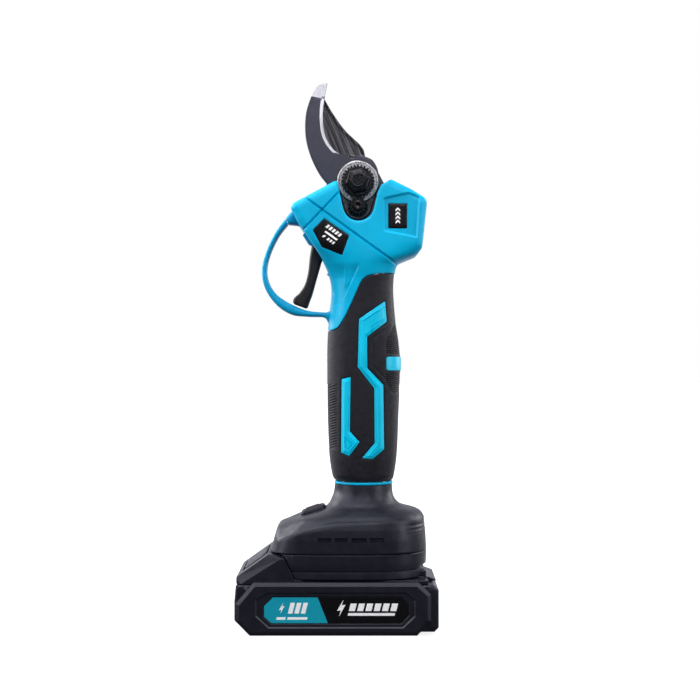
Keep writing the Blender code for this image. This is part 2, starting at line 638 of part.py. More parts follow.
GEARBOX_FLOOR, GEARBOX_ROOF = 184.0, 203.4
PLANET_LOW, PLANET_HIGH = 187.2, 194.2
CARRIER_Z = 194.6


def planet_phase(angle, sun_phase):
    """How a planet is turned so that its teeth mesh with the sun's at a given place round the sun."""
    sun_share = (angle - sun_phase) * SUN_TEETH / (2 * pi)
    return angle + pi - (0.5 - sun_share) * 2 * pi / PLANET_TEETH


def upright(part):
    """Lays a prism flat about the handle's axis: its depth becomes height, and its Z points to -Y."""
    part.data.transform(Matrix(((1, 0, 0, HANDLE_X * MM), (0, 0, -1, 0), (0, 1, 0, 0), (0, 0, 0, 1))))
    return part


def gearbox():
    """Planetary reduction: sun on the motor shaft, three planets, fixed ring, carrier with bevel pinion."""
    orbit = (SUN_TEETH + PLANET_TEETH) * PLANET_MODULE / 2
    angles = [pi / 2 + 2 * pi * k / 3 for k in range(3)]
    first_phase = planet_phase(angles[0], 0.0)
    ring_phase = angles[0] - (angles[0] - first_phase) * PLANET_TEETH / RING_TEETH
    height = GEARBOX_ROOF - GEARBOX_FLOOR + 2.4
    case = rod("gearbox_ring", DRIVE_RADIUS, (HANDLE_X, 0, GEARBOX_FLOOR), height, "Z", STEEL, 28)
    join(case, rod("bearing boss", 8.2, (HANDLE_X, 0, GEARBOX_ROOF), 6.0, "Z", sides=24))
    spaces = gear_outline(RING_TEETH, PLANET_MODULE, (0, 0), ring_phase, inside=True)
    teeth = upright(prism("ring spaces", spaces, GEARBOX_FLOOR - 4, GEARBOX_ROOF))
    cut(case, teeth, rod("output hole", 3.4, (HANDLE_X, 0, GEARBOX_ROOF - 2), 12, "Z"),
        rod("bearing pocket", 6.7, (HANDLE_X, 0, GEARBOX_ROOF + 2.2), 9, "Z"))
    ring("output_bearing", 6.5, 3.2, (HANDLE_X, 0, GEARBOX_ROOF + 2.5), 3.4, "Z", STEEL)

    carrier = rod("planet_carrier", 9.8, (HANDLE_X, 0, CARRIER_Z), 4.0, "Z", STEEL, 24)
    pinion_frame = Matrix.Translation((HANDLE_X, BEVEL_APEX_Y, CROSS[1])) @ Matrix.Rotation(pi, 4, "X")
    gap_back = -pi / 2 + pi / BEVEL_PINION_TEETH  # local -Y is world +Y, where the large wheel is
    pinion = bevel_wheel("bevel_pinion", BEVEL_PINION_TEETH, BEVEL_TEETH, BEVEL_MODULE, 4.6, 2.1, 0.4,
                         gap_back, pinion_frame, STEEL)
    pins = []
    for k, angle in enumerate(angles):
        centre = (HANDLE_X + orbit * cos(angle), -orbit * sin(angle))
        pins.append(rod(f"planet pin {k}", 1.4, (*centre, PLANET_LOW + 0.4), 9, "Z", sides=12))
        flat = gear_outline(PLANET_TEETH, PLANET_MODULE, (orbit * cos(angle), orbit * sin(angle)),
                            planet_phase(angle, 0.0))
        hole = circle((orbit * cos(angle), orbit * sin(angle)), 1.55, 12)
        planet = upright(prism(f"planet_gear_{k + 1}", flat, PLANET_LOW, PLANET_HIGH, STEEL, holes=[hole]))
        hang_on(f"planet_axis_{k + 1}", (*centre, PLANET_LOW), planet)
    join(carrier, *pins, rod("output shaft", 3.0, (HANDLE_X, 0, CARRIER_Z + 3), 11.8, "Z", sides=16),
         rod("pinion seat", 2.0, (HANDLE_X, 0, CARRIER_Z + 12), 10.4, "Z", sides=12))
    hang_on("carrier_axis", (HANDLE_X, 0, CARRIER_Z), carrier, pinion)
    ring("gearbox_plate", DRIVE_RADIUS, 5.2, (HANDLE_X, 0, GEARBOX_FLOOR - 2.4), 2.1, "Z", STEEL, 24)


MOTOR_LOW, MOTOR_HIGH = 147.0, 181.3


def motor():
    """A brushless motor: can, stator, end bell, and a rotor whose shaft ends in the sun gear."""
    length = MOTOR_HIGH - MOTOR_LOW - 2.0
    ring("motor_can", DRIVE_RADIUS, 13.0, (HANDLE_X, 0, MOTOR_LOW), length, "Z", STEEL, 24)
    ring("motor_face", DRIVE_RADIUS, 2.6, (HANDLE_X, 0, MOTOR_HIGH - 1.8), 1.8, "Z", STEEL, 24)
    slots = gear_outline(9, 2.0, (0, 0), 0.0, 0.5, inside=True)
    upright(prism("stator_core", circle((0, 0), 12.7, 36), 153.0, 175.0, COPPER, holes=[slots]))
    ring("motor_end_bell", 12.7, 2.2, (HANDLE_X, 0, MOTOR_LOW + 0.2), 3.0, "Z", STEEL, 24)
    rotor = rod("motor_rotor", 6.4, (HANDLE_X, 0, 152.0), 24.0, "Z", STEEL, 24)
    sun = upright(prism("sun teeth", gear_outline(SUN_TEETH, PLANET_MODULE), 184.4, PLANET_HIGH - 0.2))
    join(rotor, rod("motor shaft", 1.5, (HANDLE_X, 0, 146.4), 46.0, "Z", sides=14), sun)
    hang_on("motor_axis", (HANDLE_X, 0, 160), rotor)


def electronics():
    """The speed controller under the motor and the sensor board behind the trigger."""
    board = box("controller_board", (HANDLE_X - 10, -0.8, 94), (HANDLE_X + 10, 0.8, 138.6), BOARD_GREEN)
    for i, z in enumerate((100, 110, 120)):
        join(board, box(f"power switch {i}", (HANDLE_X - 8, -4.0, z), (HANDLE_X - 1, -0.5, z + 7)),
             box(f"power switch b{i}", (HANDLE_X + 1, -4.0, z), (HANDLE_X + 8, -0.5, z + 7)))
    join(board, rod("capacitor", 4.0, (HANDLE_X, 0.4, 130.0), 9.0, sides=14))
    box("trigger_sensor_board", (-3.4, -4, 208.6), (-2.0, 4, 216.4), BOARD_GREEN)


def trigger():
    """The black lever, its pin and its return spring."""
    front = smooth_line([(-14.6, 218.8), (-15.8, 212.8), (-16.6, 205.0), (-18.4, 197.2), (-21.5, 192.0),
                         (-25.0, 188.6), (-25.5, 185.6)], 12)
    back = smooth_line([(-17.2, 182.6), (-14.2, 190.4), (-11.7, 199.8), (-9.6, 207.4), (-8.4, 211.0)], 8)
    hub = circle(TRIGGER_PIN, 4.0, 8, radians(-60), radians(140))
    half = TRIGGER_WIDTH / 2
    lever = prism("trigger", front + back + hub, -half, half, BLACK)
    bevel(lever, 0.8, 1, 60)
    cut(lever, rod("trigger bore", 1.75, (TRIGGER_PIN[0], -9, TRIGGER_PIN[1]), 18, sides=12),
        ring("spring groove", 6.0, 2.3, (TRIGGER_PIN[0], 1.4, TRIGGER_PIN[1]), 6.0, steps=16))
    rod("trigger_pin", 1.5, (TRIGGER_PIN[0], -9.8, TRIGGER_PIN[1]), 19.6, look=STEEL, sides=12)
    hang_on("trigger_axis", (TRIGGER_PIN[0], 0, TRIGGER_PIN[1]), lever)
    coil_spring("trigger_spring", (TRIGGER_PIN[0], 1.9, TRIGGER_PIN[1]), 3.1, 0.35, 3.2, 3)


def coil_spring(name, start, radius, wire, length, turns):
    """A helix about an axis along Y."""
    curve = bpy.data.curves.new(name, "CURVE")
    curve.dimensions = "3D"
    curve.bevel_depth = wire * MM
    curve.bevel_resolution = 1
    curve.use_fill_caps = True
    spline = curve.splines.new("POLY")
    count = turns * 10 + 1
    spline.points.add(count - 1)
    for i, point in enumerate(spline.points):
        turn = 2 * pi * i / 10
        point.co = (radius * cos(turn) * MM, length * i / (count - 1) * MM, radius * sin(turn) * MM, 1)
    source = bpy.data.objects.new(name, curve)
    source.matrix_world = Matrix.Translation(Vector(start) * MM)
    return meshed(source, name, STEEL)


# The foot


def foot_section(height, front, back, half_depth, shrink=0.0, count=32):
    """A plan outline: squarish towards the front and round at the back."""
    points = []
    for i in range(count):
        turn = 2 * pi * i / count
        x, y = cos(turn), sin(turn)
        reach = (back - HANDLE_X if x > 0 else HANDLE_X - front) - shrink
        flatness = min(1.0, max(0.0, (76 - height) / 12))
        power = 2.0 + flatness * (0.5 if x > 0 else 3.0)
        points.append((HANDLE_X + reach * abs(x) ** (2 / power) * (1 if x > 0 else -1),
                       (half_depth - shrink) * abs(y) ** (2 / power) * (1 if y > 0 else -1), height))
    return points


def foot():
    """The moulded neck and shoulder over the battery, with the collar, power button and battery rails."""
    cover = loft("foot_cover", [foot_section(*row) for row in FOOT_SECTIONS], BLACK)
    hollow = [(40.0, *FOOT_SECTIONS[0][1:]), *FOOT_SECTIONS[1:3], (59.6, -29.5, 50.0, 31.5)]
    cut(cover, loft("foot hollow", [foot_section(*row, shrink=2.6) for row in hollow]),
        rod("neck bore", 14.9, (HANDLE_X, 0, 55.0), 40, "Z", sides=32))
    ring("collar_ring", 16.9, 14.9, (HANDLE_X, 0, COLLAR_Z - 0.5), 1.4, "Z", TEAL, 28)
    power_button(cover)
    battery_adapter()


def slope_frame(low, high):
    """A frame at the middle of a slope: X up the slope, Y across, Z out of it."""
    along = (high - low).normalized()
    out = along.cross(Vector((0, 1, 0)))
    middle = (low + high) / 2 * MM
    return Matrix.Translation(middle) @ Matrix((along, Vector((0, 1, 0)), out)).transposed().to_4x4()


def slab(name, frame, size, look=None, offset=(0, 0, 0)):
    """A box of a given size, in a frame, centred on an offset."""
    builder = bmesh.new()
    bmesh.ops.create_cube(builder, size=1)
    spread = Matrix.Diagonal((*(Vector(size) * MM), 1))
    builder.transform(frame @ Matrix.Translation(Vector(offset) * MM) @ spread)
    return place(mesh_from(builder, name), name, look)


def power_button(cover):
    frame = slope_frame(BUTTON_LOW, BUTTON_HIGH)
    cut(cover, slab("button well", frame, (11.2, 9.2, 14)),
        slab("bezel seat", frame, (15.6, 13.0, 10), offset=(0, 0, 4.3)))
    bezel = slab("button_bezel", frame, (15.0, 12.4, 4.2), BLACK, (0, 0, 1.5))
    cut(bezel, slab("bezel window", frame, (9.4, 7.4, 12)))
    bevel(bezel, 0.7, 1)
    button = slab("power_button", frame, (8.8, 6.8, 5.0), BUTTON_RED, (0, 0, 1.8))
    bevel(button, 0.5, 1)
    hang_on("button_axis", (BUTTON_LOW + BUTTON_HIGH) / 2, button)


def battery_adapter():
    """The lower part of the foot: a T-shaped channel that the battery's rails slide into."""
    low = [(x, y, FOOT_BOTTOM) for x, y, _ in foot_section(44.6, -37.4, 51.0, FOOT_HALF - 0.6)]
    high = [(x, y, FOOT_SPLIT - 0.15) for x, y, _ in foot_section(44.6, -37.6, 51.6, FOOT_HALF)]
    adapter = loft("battery_adapter", [low, high], BLACK)
    front = [(-80, 20), (-17.4, 20), (-29.2, 43.4), (-36.4, 48), (-80, 48)]
    cut(adapter, prism("slanted front", front, -50, 50),
        box("flange channel", (-60, -25.6, 36.2), (40.6, 25.6, 42.6)),
        box("stem channel", (-60, -20.6, 25), (70, 20.6, 37.0)),
        rod("wire hole", 8.0, (HANDLE_X, 0, 40), 8, "Z"))
    block = box("terminal_block", (20.5, -13, 33.4), (38.0, 13, 42.4), BLACK)
    cut(block, *[box(f"terminal slot {i}", (10, y - 1.2, 30), (32, y + 1.2, 39))
                 for i, y in enumerate((-8, 0, 8))])


# The battery


def battery():
    """The slide-on battery: tub with raised side panels, top with rails, cells, board and latch button."""
    panel = [(-46.2, 29.4), (-56.2, 17.6), (-56.2, 8.0), (-48.2, 0), (44.8, 0), (52.6, 8.0),
             (52.6, 22.8), (45.6, 29.4)]
    body = [(-56.2, TUB_TOP), (-BATTERY_END, 18.5), (-BATTERY_END, 8.0), (-50.4, 1.6), (54.6, 1.6),
            (BATTERY_END, 4.0), (BATTERY_END, 25.0), (54.2, TUB_TOP)]
    tub = prism("battery_tub", body[::-1], -BATTERY_HALF, BATTERY_HALF, BLACK)
    for side in (-1, 1):
        plate = prism(f"side panel {side}", panel[::-1], min(side * 31.0, side * PANEL_HALF),
                      max(side * 31.0, side * PANEL_HALF))
        join(tub, bevel(plate, 1.5, 1))
    join(tub, box("base pad", (-47.2, -29.0, 0), (43.8, 29.0, 2.4)))
    cut(tub, box("cell room", (-49.4, -33.0, 3.0), (49.4, 33.0, TUB_TOP + 9)))
    cells = []
    for i in range(5):
        start = ((i - 2) * CELL_PITCH, -CELL_LENGTH / 2, CELL_Z)
        cells.append(rod(f"battery_cell_{i + 1}", CELL_RADIUS, start, CELL_LENGTH, look=CELL_BLUE, sides=16))
    board = box("battery_board", (-40, -22, 24.6), (40, 22, 26.2), BOARD_GREEN)

    top = box("battery_top", (-50.4, -32.0, TUB_TOP + 0.3), (51.2, 32.0, 30.0), BLACK)
    outlines = [(-32.6, LATCH_SIDE), (-29.6, LATCH_BLOCK), (29.6, LATCH_BLOCK), (32.6, LATCH_SIDE)]
    slope = loft("latch block", [[(x, y, z) for x, z in outline] for y, outline in outlines])
    tail = [(48.0, 28.1), (48.0, 31.2), (51.6, 30.4), (56.2, 28.7), (56.2, 28.1)]
    join(top, slope, prism("rail tail", tail[::-1], -20.0, 20.0),
         box("rail stem", (-34.0, -20.0, 29.0), (50.6, 20.0, 33.8)),
         box("rail core", (-34.0, -20.0, 29.0), (39.6, 20.0, 41.8)),
         box("rail flange", (-36.0, -25.0, 36.8), (39.6, 25.0, 41.8)))
    frame = slope_frame(LATCH_FOOT, LATCH_TOP)
    cut(top, box("terminal pocket", (17.0, -14.0, 32.6), (60, 14.0, 50)),
        slab("latch well", frame, (17.6, 38.0, 12.0), offset=(1.0, 0, 0)))
    latch_button = slab("latch_button", frame, (14.5, 36.6, 4.3), BLACK, (1.2, 0, -1.3))
    bevel(latch_button, 1.0, 2)
    hang_on("latch_axis", (LATCH_FOOT + LATCH_TOP) / 2, latch_button)
    hang_on("battery_axis", (0, 0, 0), tub, top, board, *cells)


clear_scene()
PARTS = new_collection("battery electric pruner")
CUTTERS = new_collection("cutters")
TEAL = material("teal plastic", (0.0, 0.46, 0.66), 0.38)
BLACK = material("black plastic", (0.02, 0.02, 0.026), 0.5)
RUBBER_BLACK = material("black rubber", (0.025, 0.024, 0.028), 0.75)
ALLOY = material("cast alloy", (0.09, 0.09, 0.1), 0.5, 0.8)
STEEL = material("bright steel", (0.62, 0.62, 0.64), 0.3, 1.0)
BLACK_STEEL = material("blackened steel", (0.03, 0.03, 0.035), 0.4, 0.9)
BLADE_DARK = material("coated blade steel", (0.09, 0.09, 0.11), 0.4, 0.6)
COPPER = material("windings", (0.6, 0.25, 0.1), 0.4, 1.0)
BOARD_GREEN = material("circuit board", (0.02, 0.2, 0.08), 0.5)
CELL_BLUE = material("cell sleeve", (0.05, 0.15, 0.5), 0.4)
BUTTON_RED = material("button", (0.35, 0.03, 0.04), 0.5)

housing_half(-1)
housing_half(1)
grip_half(-1)
grip_half(1)
housing_screws()
trigger_guard()
gear_case()
blade_bolt()
hook_blade()
moving_blade()
cross_shaft()
gearbox()
motor()
electronics()
trigger()
foot()
battery()
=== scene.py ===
"""The look of a battery electric pruner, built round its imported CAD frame.

Tables are in millimetres, in the frame's axes: X from the trigger to the back of the hand, Y into the tool's
thickness, Z up. Most mouldings are reliefs: a flat region of the X-Z plane, triangulated, whose depth along Y
is a formula. A depth is measured from the tool's middle plane towards one side, -1 for front and 1 for rear.
"""

from math import acos, atan2, cos, hypot, pi, radians, sin, sqrt, tan

import bmesh
import bpy
import numpy as np
from mathutils import Matrix, Vector, kdtree
from mathutils.geometry import delaunay_2d_cdt


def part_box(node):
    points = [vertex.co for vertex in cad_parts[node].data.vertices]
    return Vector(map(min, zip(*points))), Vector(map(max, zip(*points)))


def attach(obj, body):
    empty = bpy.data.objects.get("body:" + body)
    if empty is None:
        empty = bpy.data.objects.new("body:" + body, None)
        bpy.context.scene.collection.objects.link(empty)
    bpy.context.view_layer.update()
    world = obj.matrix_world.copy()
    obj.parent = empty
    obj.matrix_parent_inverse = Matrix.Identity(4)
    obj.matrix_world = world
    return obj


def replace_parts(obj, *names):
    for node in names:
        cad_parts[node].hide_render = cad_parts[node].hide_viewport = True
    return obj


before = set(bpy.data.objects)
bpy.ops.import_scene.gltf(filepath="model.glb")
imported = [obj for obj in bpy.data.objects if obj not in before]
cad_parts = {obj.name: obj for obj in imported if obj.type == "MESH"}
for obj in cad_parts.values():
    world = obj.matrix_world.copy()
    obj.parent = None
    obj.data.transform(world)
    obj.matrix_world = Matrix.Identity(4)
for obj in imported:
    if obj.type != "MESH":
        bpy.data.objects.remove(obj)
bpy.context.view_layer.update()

MM = 0.001
FRONT, REAR = -1, 1


def span(node):
    """Lowest and highest corner of a CAD node, in millimetres."""
    low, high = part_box(node)
    return low / MM, high / MM


def middle(node):
    low, high = span(node)
    return (low.x + high.x) / 2, (low.z + high.z) / 2


PIVOT = middle("pivot_washer")
LOCK = middle("lock_screw")
CROSS = middle("pinion_shaft")
HANDLE_X = middle("collar_ring")[0]
SHELL_DEPTH = -span("housing_front")[0].y
SEAM = 0.1

# Stage


def srgb(red, green, blue):
    """A colour given in 0 to 255 as the linear values that shaders take."""
    return tuple(c / 255 / 12.92 if c <= 10 else ((c / 255 + 0.055) / 1.055) ** 2.4
                 for c in (red, green, blue))


def set_camera():
    camera = bpy.data.cameras.new("camera")
    camera.lens, camera.sensor_width = 75.4, 36.0
    camera.clip_start, camera.clip_end = 0.01, 20
    holder = bpy.data.objects.new("camera", camera)
    holder.location = (0.0075, -0.850, 0.1587)
    holder.rotation_euler = (pi / 2, 0, 0)
    bpy.context.scene.collection.objects.link(holder)
    bpy.context.scene.camera = holder


def soft_light(name, place, aim, size, power):
    lamp = bpy.data.lights.new(name, "AREA")
    lamp.shape = "RECTANGLE"
    lamp.size, lamp.size_y = size
    lamp.energy = power
    holder = bpy.data.objects.new(name, lamp)
    holder.location = place
    holder.rotation_euler = (Vector(aim) - Vector(place)).to_track_quat("-Z", "Y").to_euler()
    bpy.context.scene.collection.objects.link(holder)


def map_range(tree, value, start, end, low, high, kind="LINEAR"):
    """The output of a node that carries a value from one range to another."""
    made = tree.nodes.new("ShaderNodeMapRange")
    made.interpolation_type = kind
    tree.links.new(value, made.inputs["Value"])
    for socket, number in (("From Min", start), ("From Max", end), ("To Min", low), ("To Max", high)):
        made.inputs[socket].default_value = number
    return made.outputs["Result"]


def set_lights():
    """Soft boxes at both sides, above, in front and behind."""
    soft_light("left box", (-0.85, -0.25, 0.45), (0, 0, 0.17), (0.5, 0.9), 7.2)
    soft_light("right box", (0.80, -0.35, 0.40), (0, 0, 0.16), (0.4, 0.9), 5.2)
    soft_light("top box", (-0.15, -0.20, 1.1), (0, 0, 0.1), (1.0, 0.8), 9.5)
    soft_light("front box", (0.1, -1.3, 0.9), (0, 0, 0.15), (0.7, 0.5), 8.0)
    soft_light("back left box", (-0.7, 0.45, 0.55), (0, 0, 0.12), (0.5, 0.8), 8.0)
    soft_light("back right box", (0.75, 0.5, 0.5), (0, 0, 0.15), (0.4, 0.8), 4.5)


def set_surround():
    """White where it is seen; as light it is dim in front and stronger behind the object."""
    world = bpy.data.worlds.new("surround")
    bpy.context.scene.world = world
    world.use_nodes = True
    tree = world.node_tree
    seen = tree.nodes["Background"]
    seen.inputs["Color"].default_value = (1, 1, 1, 1)
    seen.inputs["Strength"].default_value = 1.0
    lit = tree.nodes.new("ShaderNodeBackground")
    lit.inputs["Color"].default_value = (0.90, 0.91, 1.0, 1)
    heading = tree.nodes.new("ShaderNodeSeparateXYZ")
    tree.links.new(tree.nodes.new("ShaderNodeTexCoord").outputs["Generated"], heading.inputs[0])
    behind = map_range(tree, heading.outputs["Y"], 0.3, 0.95, 0.11, 0.9)
    tree.links.new(behind, lit.inputs["Strength"])
    path = tree.nodes.new("ShaderNodeLightPath")
    mix = tree.nodes.new("ShaderNodeMixShader")
    tree.links.new(path.outputs["Is Camera Ray"], mix.inputs["Fac"])
    tree.links.new(lit.outputs[0], mix.inputs[1])
    tree.links.new(seen.outputs[0], mix.inputs[2])
    tree.links.new(mix.outputs[0], tree.nodes["World Output"].inputs["Surface"])
    bpy.context.scene.view_settings.view_transform = "Standard"


def set_floor():
    """A pale floor that fades to white away from the object."""
    floor_mesh = bpy.data.meshes.new("floor")
    reach = 6.0
    corners = [(-reach, -reach, 0), (reach, -reach, 0), (reach, reach, 0), (-reach, reach, 0)]
    floor_mesh.from_pydata(corners, [], [(0, 1, 2, 3)])
    floor = bpy.data.objects.new("floor", floor_mesh)
    floor.location.z = -0.0003
    bpy.context.scene.collection.objects.link(floor)
    pale = bpy.data.materials.new("pale floor")
    pale.use_nodes = True
    nodes, links = pale.node_tree.nodes, pale.node_tree.links
    shader = nodes["Principled BSDF"]
    shader.inputs["Base Color"].default_value = (0.22, 0.22, 0.24, 1)
    shader.inputs["Roughness"].default_value = 0.3
    shader.inputs["Emission Color"].default_value = (1, 1, 1, 1)
    away = nodes.new("ShaderNodeVectorMath")
    away.operation = "LENGTH"
    links.new(nodes.new("ShaderNodeTexCoord").outputs["Object"], away.inputs[0])
    glow = map_range(pale.node_tree, away.outputs["Value"], 0.06, 0.42, 0.82, 1.05, "SMOOTHSTEP")
    links.new(glow, shader.inputs["Emission Strength"])
    floor.visible_glossy = False
    floor.visible_diffuse = False
    floor_mesh.materials.append(pale)


# Materials


class Finish:
    """A procedural material under construction. Sizes and depths are in millimetres."""

    def __init__(self, name, colour, roughness, metallic=0.0, **sockets):
        self.material = bpy.data.materials.new(name)
        self.material.use_nodes = True
        self.tree = self.material.node_tree
        self.shader = self.tree.nodes["Principled BSDF"]
        self.colour = colour
        self.shader.inputs["Base Color"].default_value = (*colour, 1)
        self.shader.inputs["Roughness"].default_value = roughness
        self.shader.inputs["Metallic"].default_value = metallic
        for socket, value in sockets.items():
            self.shader.inputs[socket.replace("_", " ")].default_value = value
        self.normal = None

    def node(self, kind, links=(), **settings):
        made = self.tree.nodes.new("ShaderNode" + kind)
        for key, value in settings.items():
            setattr(made, key, value)
        for socket, source in dict(links).items():
            if isinstance(source, bpy.types.NodeSocket):
                self.tree.links.new(source, made.inputs[socket])
            else:
                made.inputs[socket].default_value = source
        return made

    def place_on(self, stretch=(1, 1, 1), turn=(0, 0, 0)):
        """The object's own coordinates, turned and then stretched. A large stretch makes a short feature."""
        source = self.node("TexCoord").outputs["Object"]
        if any(turn):
            turned = {"Vector": source, "Rotation": tuple(map(radians, turn))}
            source = self.node("Mapping", turned).outputs[0]
        if stretch != (1, 1, 1):
            source = self.node("Mapping", {"Vector": source, "Scale": stretch}).outputs[0]
        return source

    def noise(self, size, detail=3.0, **placing):
        links = {"Vector": self.place_on(**placing), "Scale": 1000 / size, "Detail": detail}
        return self.node("TexNoise", links).outputs["Fac"]

    def pebbles(self, size):
        made = self.node("TexVoronoi", {"Vector": self.place_on(), "Scale": 1000 / size}, feature="SMOOTH_F1")
        return made.outputs["Distance"]

    def waves(self, size, direction, distortion=0.0):
        made = self.node("TexWave", {"Vector": self.place_on(), "Scale": 1000 / size / 20,
                                     "Distortion": distortion}, bands_direction=direction)
        return made.outputs["Fac"]

    def tint(self, source, dark, light, start=0.35, end=0.65):
        """Colour that runs between two multiples of the base colour."""
        blend = self.node("ValToRGB", {"Fac": source})
        for stop, where, share in zip(blend.color_ramp.elements, (start, end), (dark, light)):
            stop.position = where
            stop.color = (*[min(1.0, share * value) for value in self.colour], 1)
        self.tree.links.new(blend.outputs["Color"], self.shader.inputs["Base Color"])
        return self

    def rough(self, source, low, high):
        roughness = map_range(self.tree, source, 0.35, 0.65, low, high)
        self.tree.links.new(roughness, self.shader.inputs["Roughness"])
        return self

    def bump(self, source, depth):
        links = {"Height": source, "Distance": depth * MM, "Strength": 1.0}
        if self.normal:
            links["Normal"] = self.normal
        self.normal = self.node("Bump", links).outputs["Normal"]
        self.tree.links.new(self.normal, self.shader.inputs["Normal"])
        return self


def moulded(name, colour, roughness, grain=0.35, depth=0.02, **sockets):
    """Injection moulded plastic: spark-eroded grain, slow colour drift and slight handling marks."""
    made = Finish(name, colour, roughness, **sockets)
    made.tint(made.noise(14, 2), 0.93, 1.05)
    made.rough(made.noise(5, 5), roughness - 0.06, roughness + 0.08)
    made.bump(made.pebbles(grain), depth)
    return made.bump(made.noise(grain * 3.5, 2), depth * 1.4)


def rubbery(name, colour, roughness):
    """Soft over-moulded rubber with a leather-like grain and a dusty sheen."""
    made = Finish(name, colour, roughness, Sheen_Weight=0.1, Sheen_Roughness=0.5, Specular_IOR_Level=0.24)
    made.tint(made.noise(3.2, 6), 0.72, 1.4)
    made.rough(made.noise(1.6, 3), roughness - 0.08, roughness + 0.1)
    made.bump(made.pebbles(1.1), 0.10)
    return made.bump(made.noise(0.45, 3), 0.04)


def brushed(name, colour, roughness, turn, metallic=1.0, along=30.0, across=0.35, contrast=0.2, depth=0.012):
    """Ground steel whose scratches run along the local Z after the turn."""
    made = Finish(name, colour, roughness, metallic)
    stretch = (along / across, along / across, 1)
    lines = made.noise(along, 6, stretch=stretch, turn=turn)
    wide = made.noise(along * 1.5, 3, stretch=(stretch[0] / 6, stretch[1] / 6, 1), turn=turn)
    blend = made.node("Mix", {"A": lines, "B": wide, "Factor": 0.5}, data_type="FLOAT").outputs["Result"]
    made.tint(blend, 1 - contrast, 1 + contrast, 0.4, 0.6)
    made.rough(lines, roughness - 0.08, roughness + 0.12)
    return made.bump(lines, depth)


def oxide(name, colour, roughness):
    """Blackened steel: a thin uneven oxide with faint rubbed spots."""
    made = Finish(name, colour, roughness, 0.75)
    made.tint(made.noise(0.9, 6), 0.6, 2.1, 0.35, 0.72)
    made.rough(made.noise(0.5, 4), roughness - 0.12, roughness + 0.15)
    return made.bump(made.noise(0.3, 3), 0.012)


def cast(name, colour, roughness):
    """Cast and blasted alloy."""
    made = Finish(name, colour, roughness, 0.7)
    made.tint(made.noise(2.5, 5), 0.7, 1.5)
    made.rough(made.noise(1.0, 4), roughness - 0.1, roughness + 0.12)
    made.bump(made.noise(0.8, 5), 0.07)
    return made.bump(made.pebbles(0.35), 0.02)


def wound(name):
    """Enamelled copper wire laid in turns."""
    made = Finish(name, srgb(184, 104, 52), 0.32, 0.9)
    turns = made.waves(0.6, "Z", 0.6)
    made.tint(turns, 0.45, 1.15, 0.1, 0.8)
    made.rough(made.noise(1.2, 3), 0.25, 0.42)
    return made.bump(turns, 0.15)


def circuit(name):
    """Green lacquered board with lighter copper tracks under the lacquer."""
    made = Finish(name, srgb(14, 88, 52), 0.34)
    tracks = made.node("TexBrick", {"Vector": made.place_on(turn=(90, 0, 0)), "Scale": 380.0,
                                    "Mortar Size": 0.035, "Color1": (0, 0, 0, 1), "Color2": (0, 0, 0, 1),
                                    "Mortar": (1, 1, 1, 1)}).outputs["Fac"]
    made.tint(tracks, 0.75, 1.9, 0.1, 0.6)
    made.rough(made.noise(2, 3), 0.26, 0.42)
    return made.bump(tracks, 0.03)


def sleeved(name):
    """Shrink sleeve on a cell, with a printed band pattern of two blues."""
    made = Finish(name, srgb(38, 92, 170), 0.3)
    made.tint(made.waves(16, "Y"), 0.75, 1.2, 0.45, 0.55)
    made.rough(made.noise(3, 3), 0.22, 0.38)
    return made.bump(made.noise(1.5, 2), 0.03)


def printed(name, colour, roughness, **sockets):
    """Ink or film on a label, with fine screen-print tooth."""
    made = Finish(name, colour, roughness, **sockets)
    made.tint(made.noise(1.2, 4), 0.94, 1.04)
    made.rough(made.noise(0.8, 3), roughness - 0.06, roughness + 0.1)
    return made.bump(made.noise(0.35, 2), 0.006)


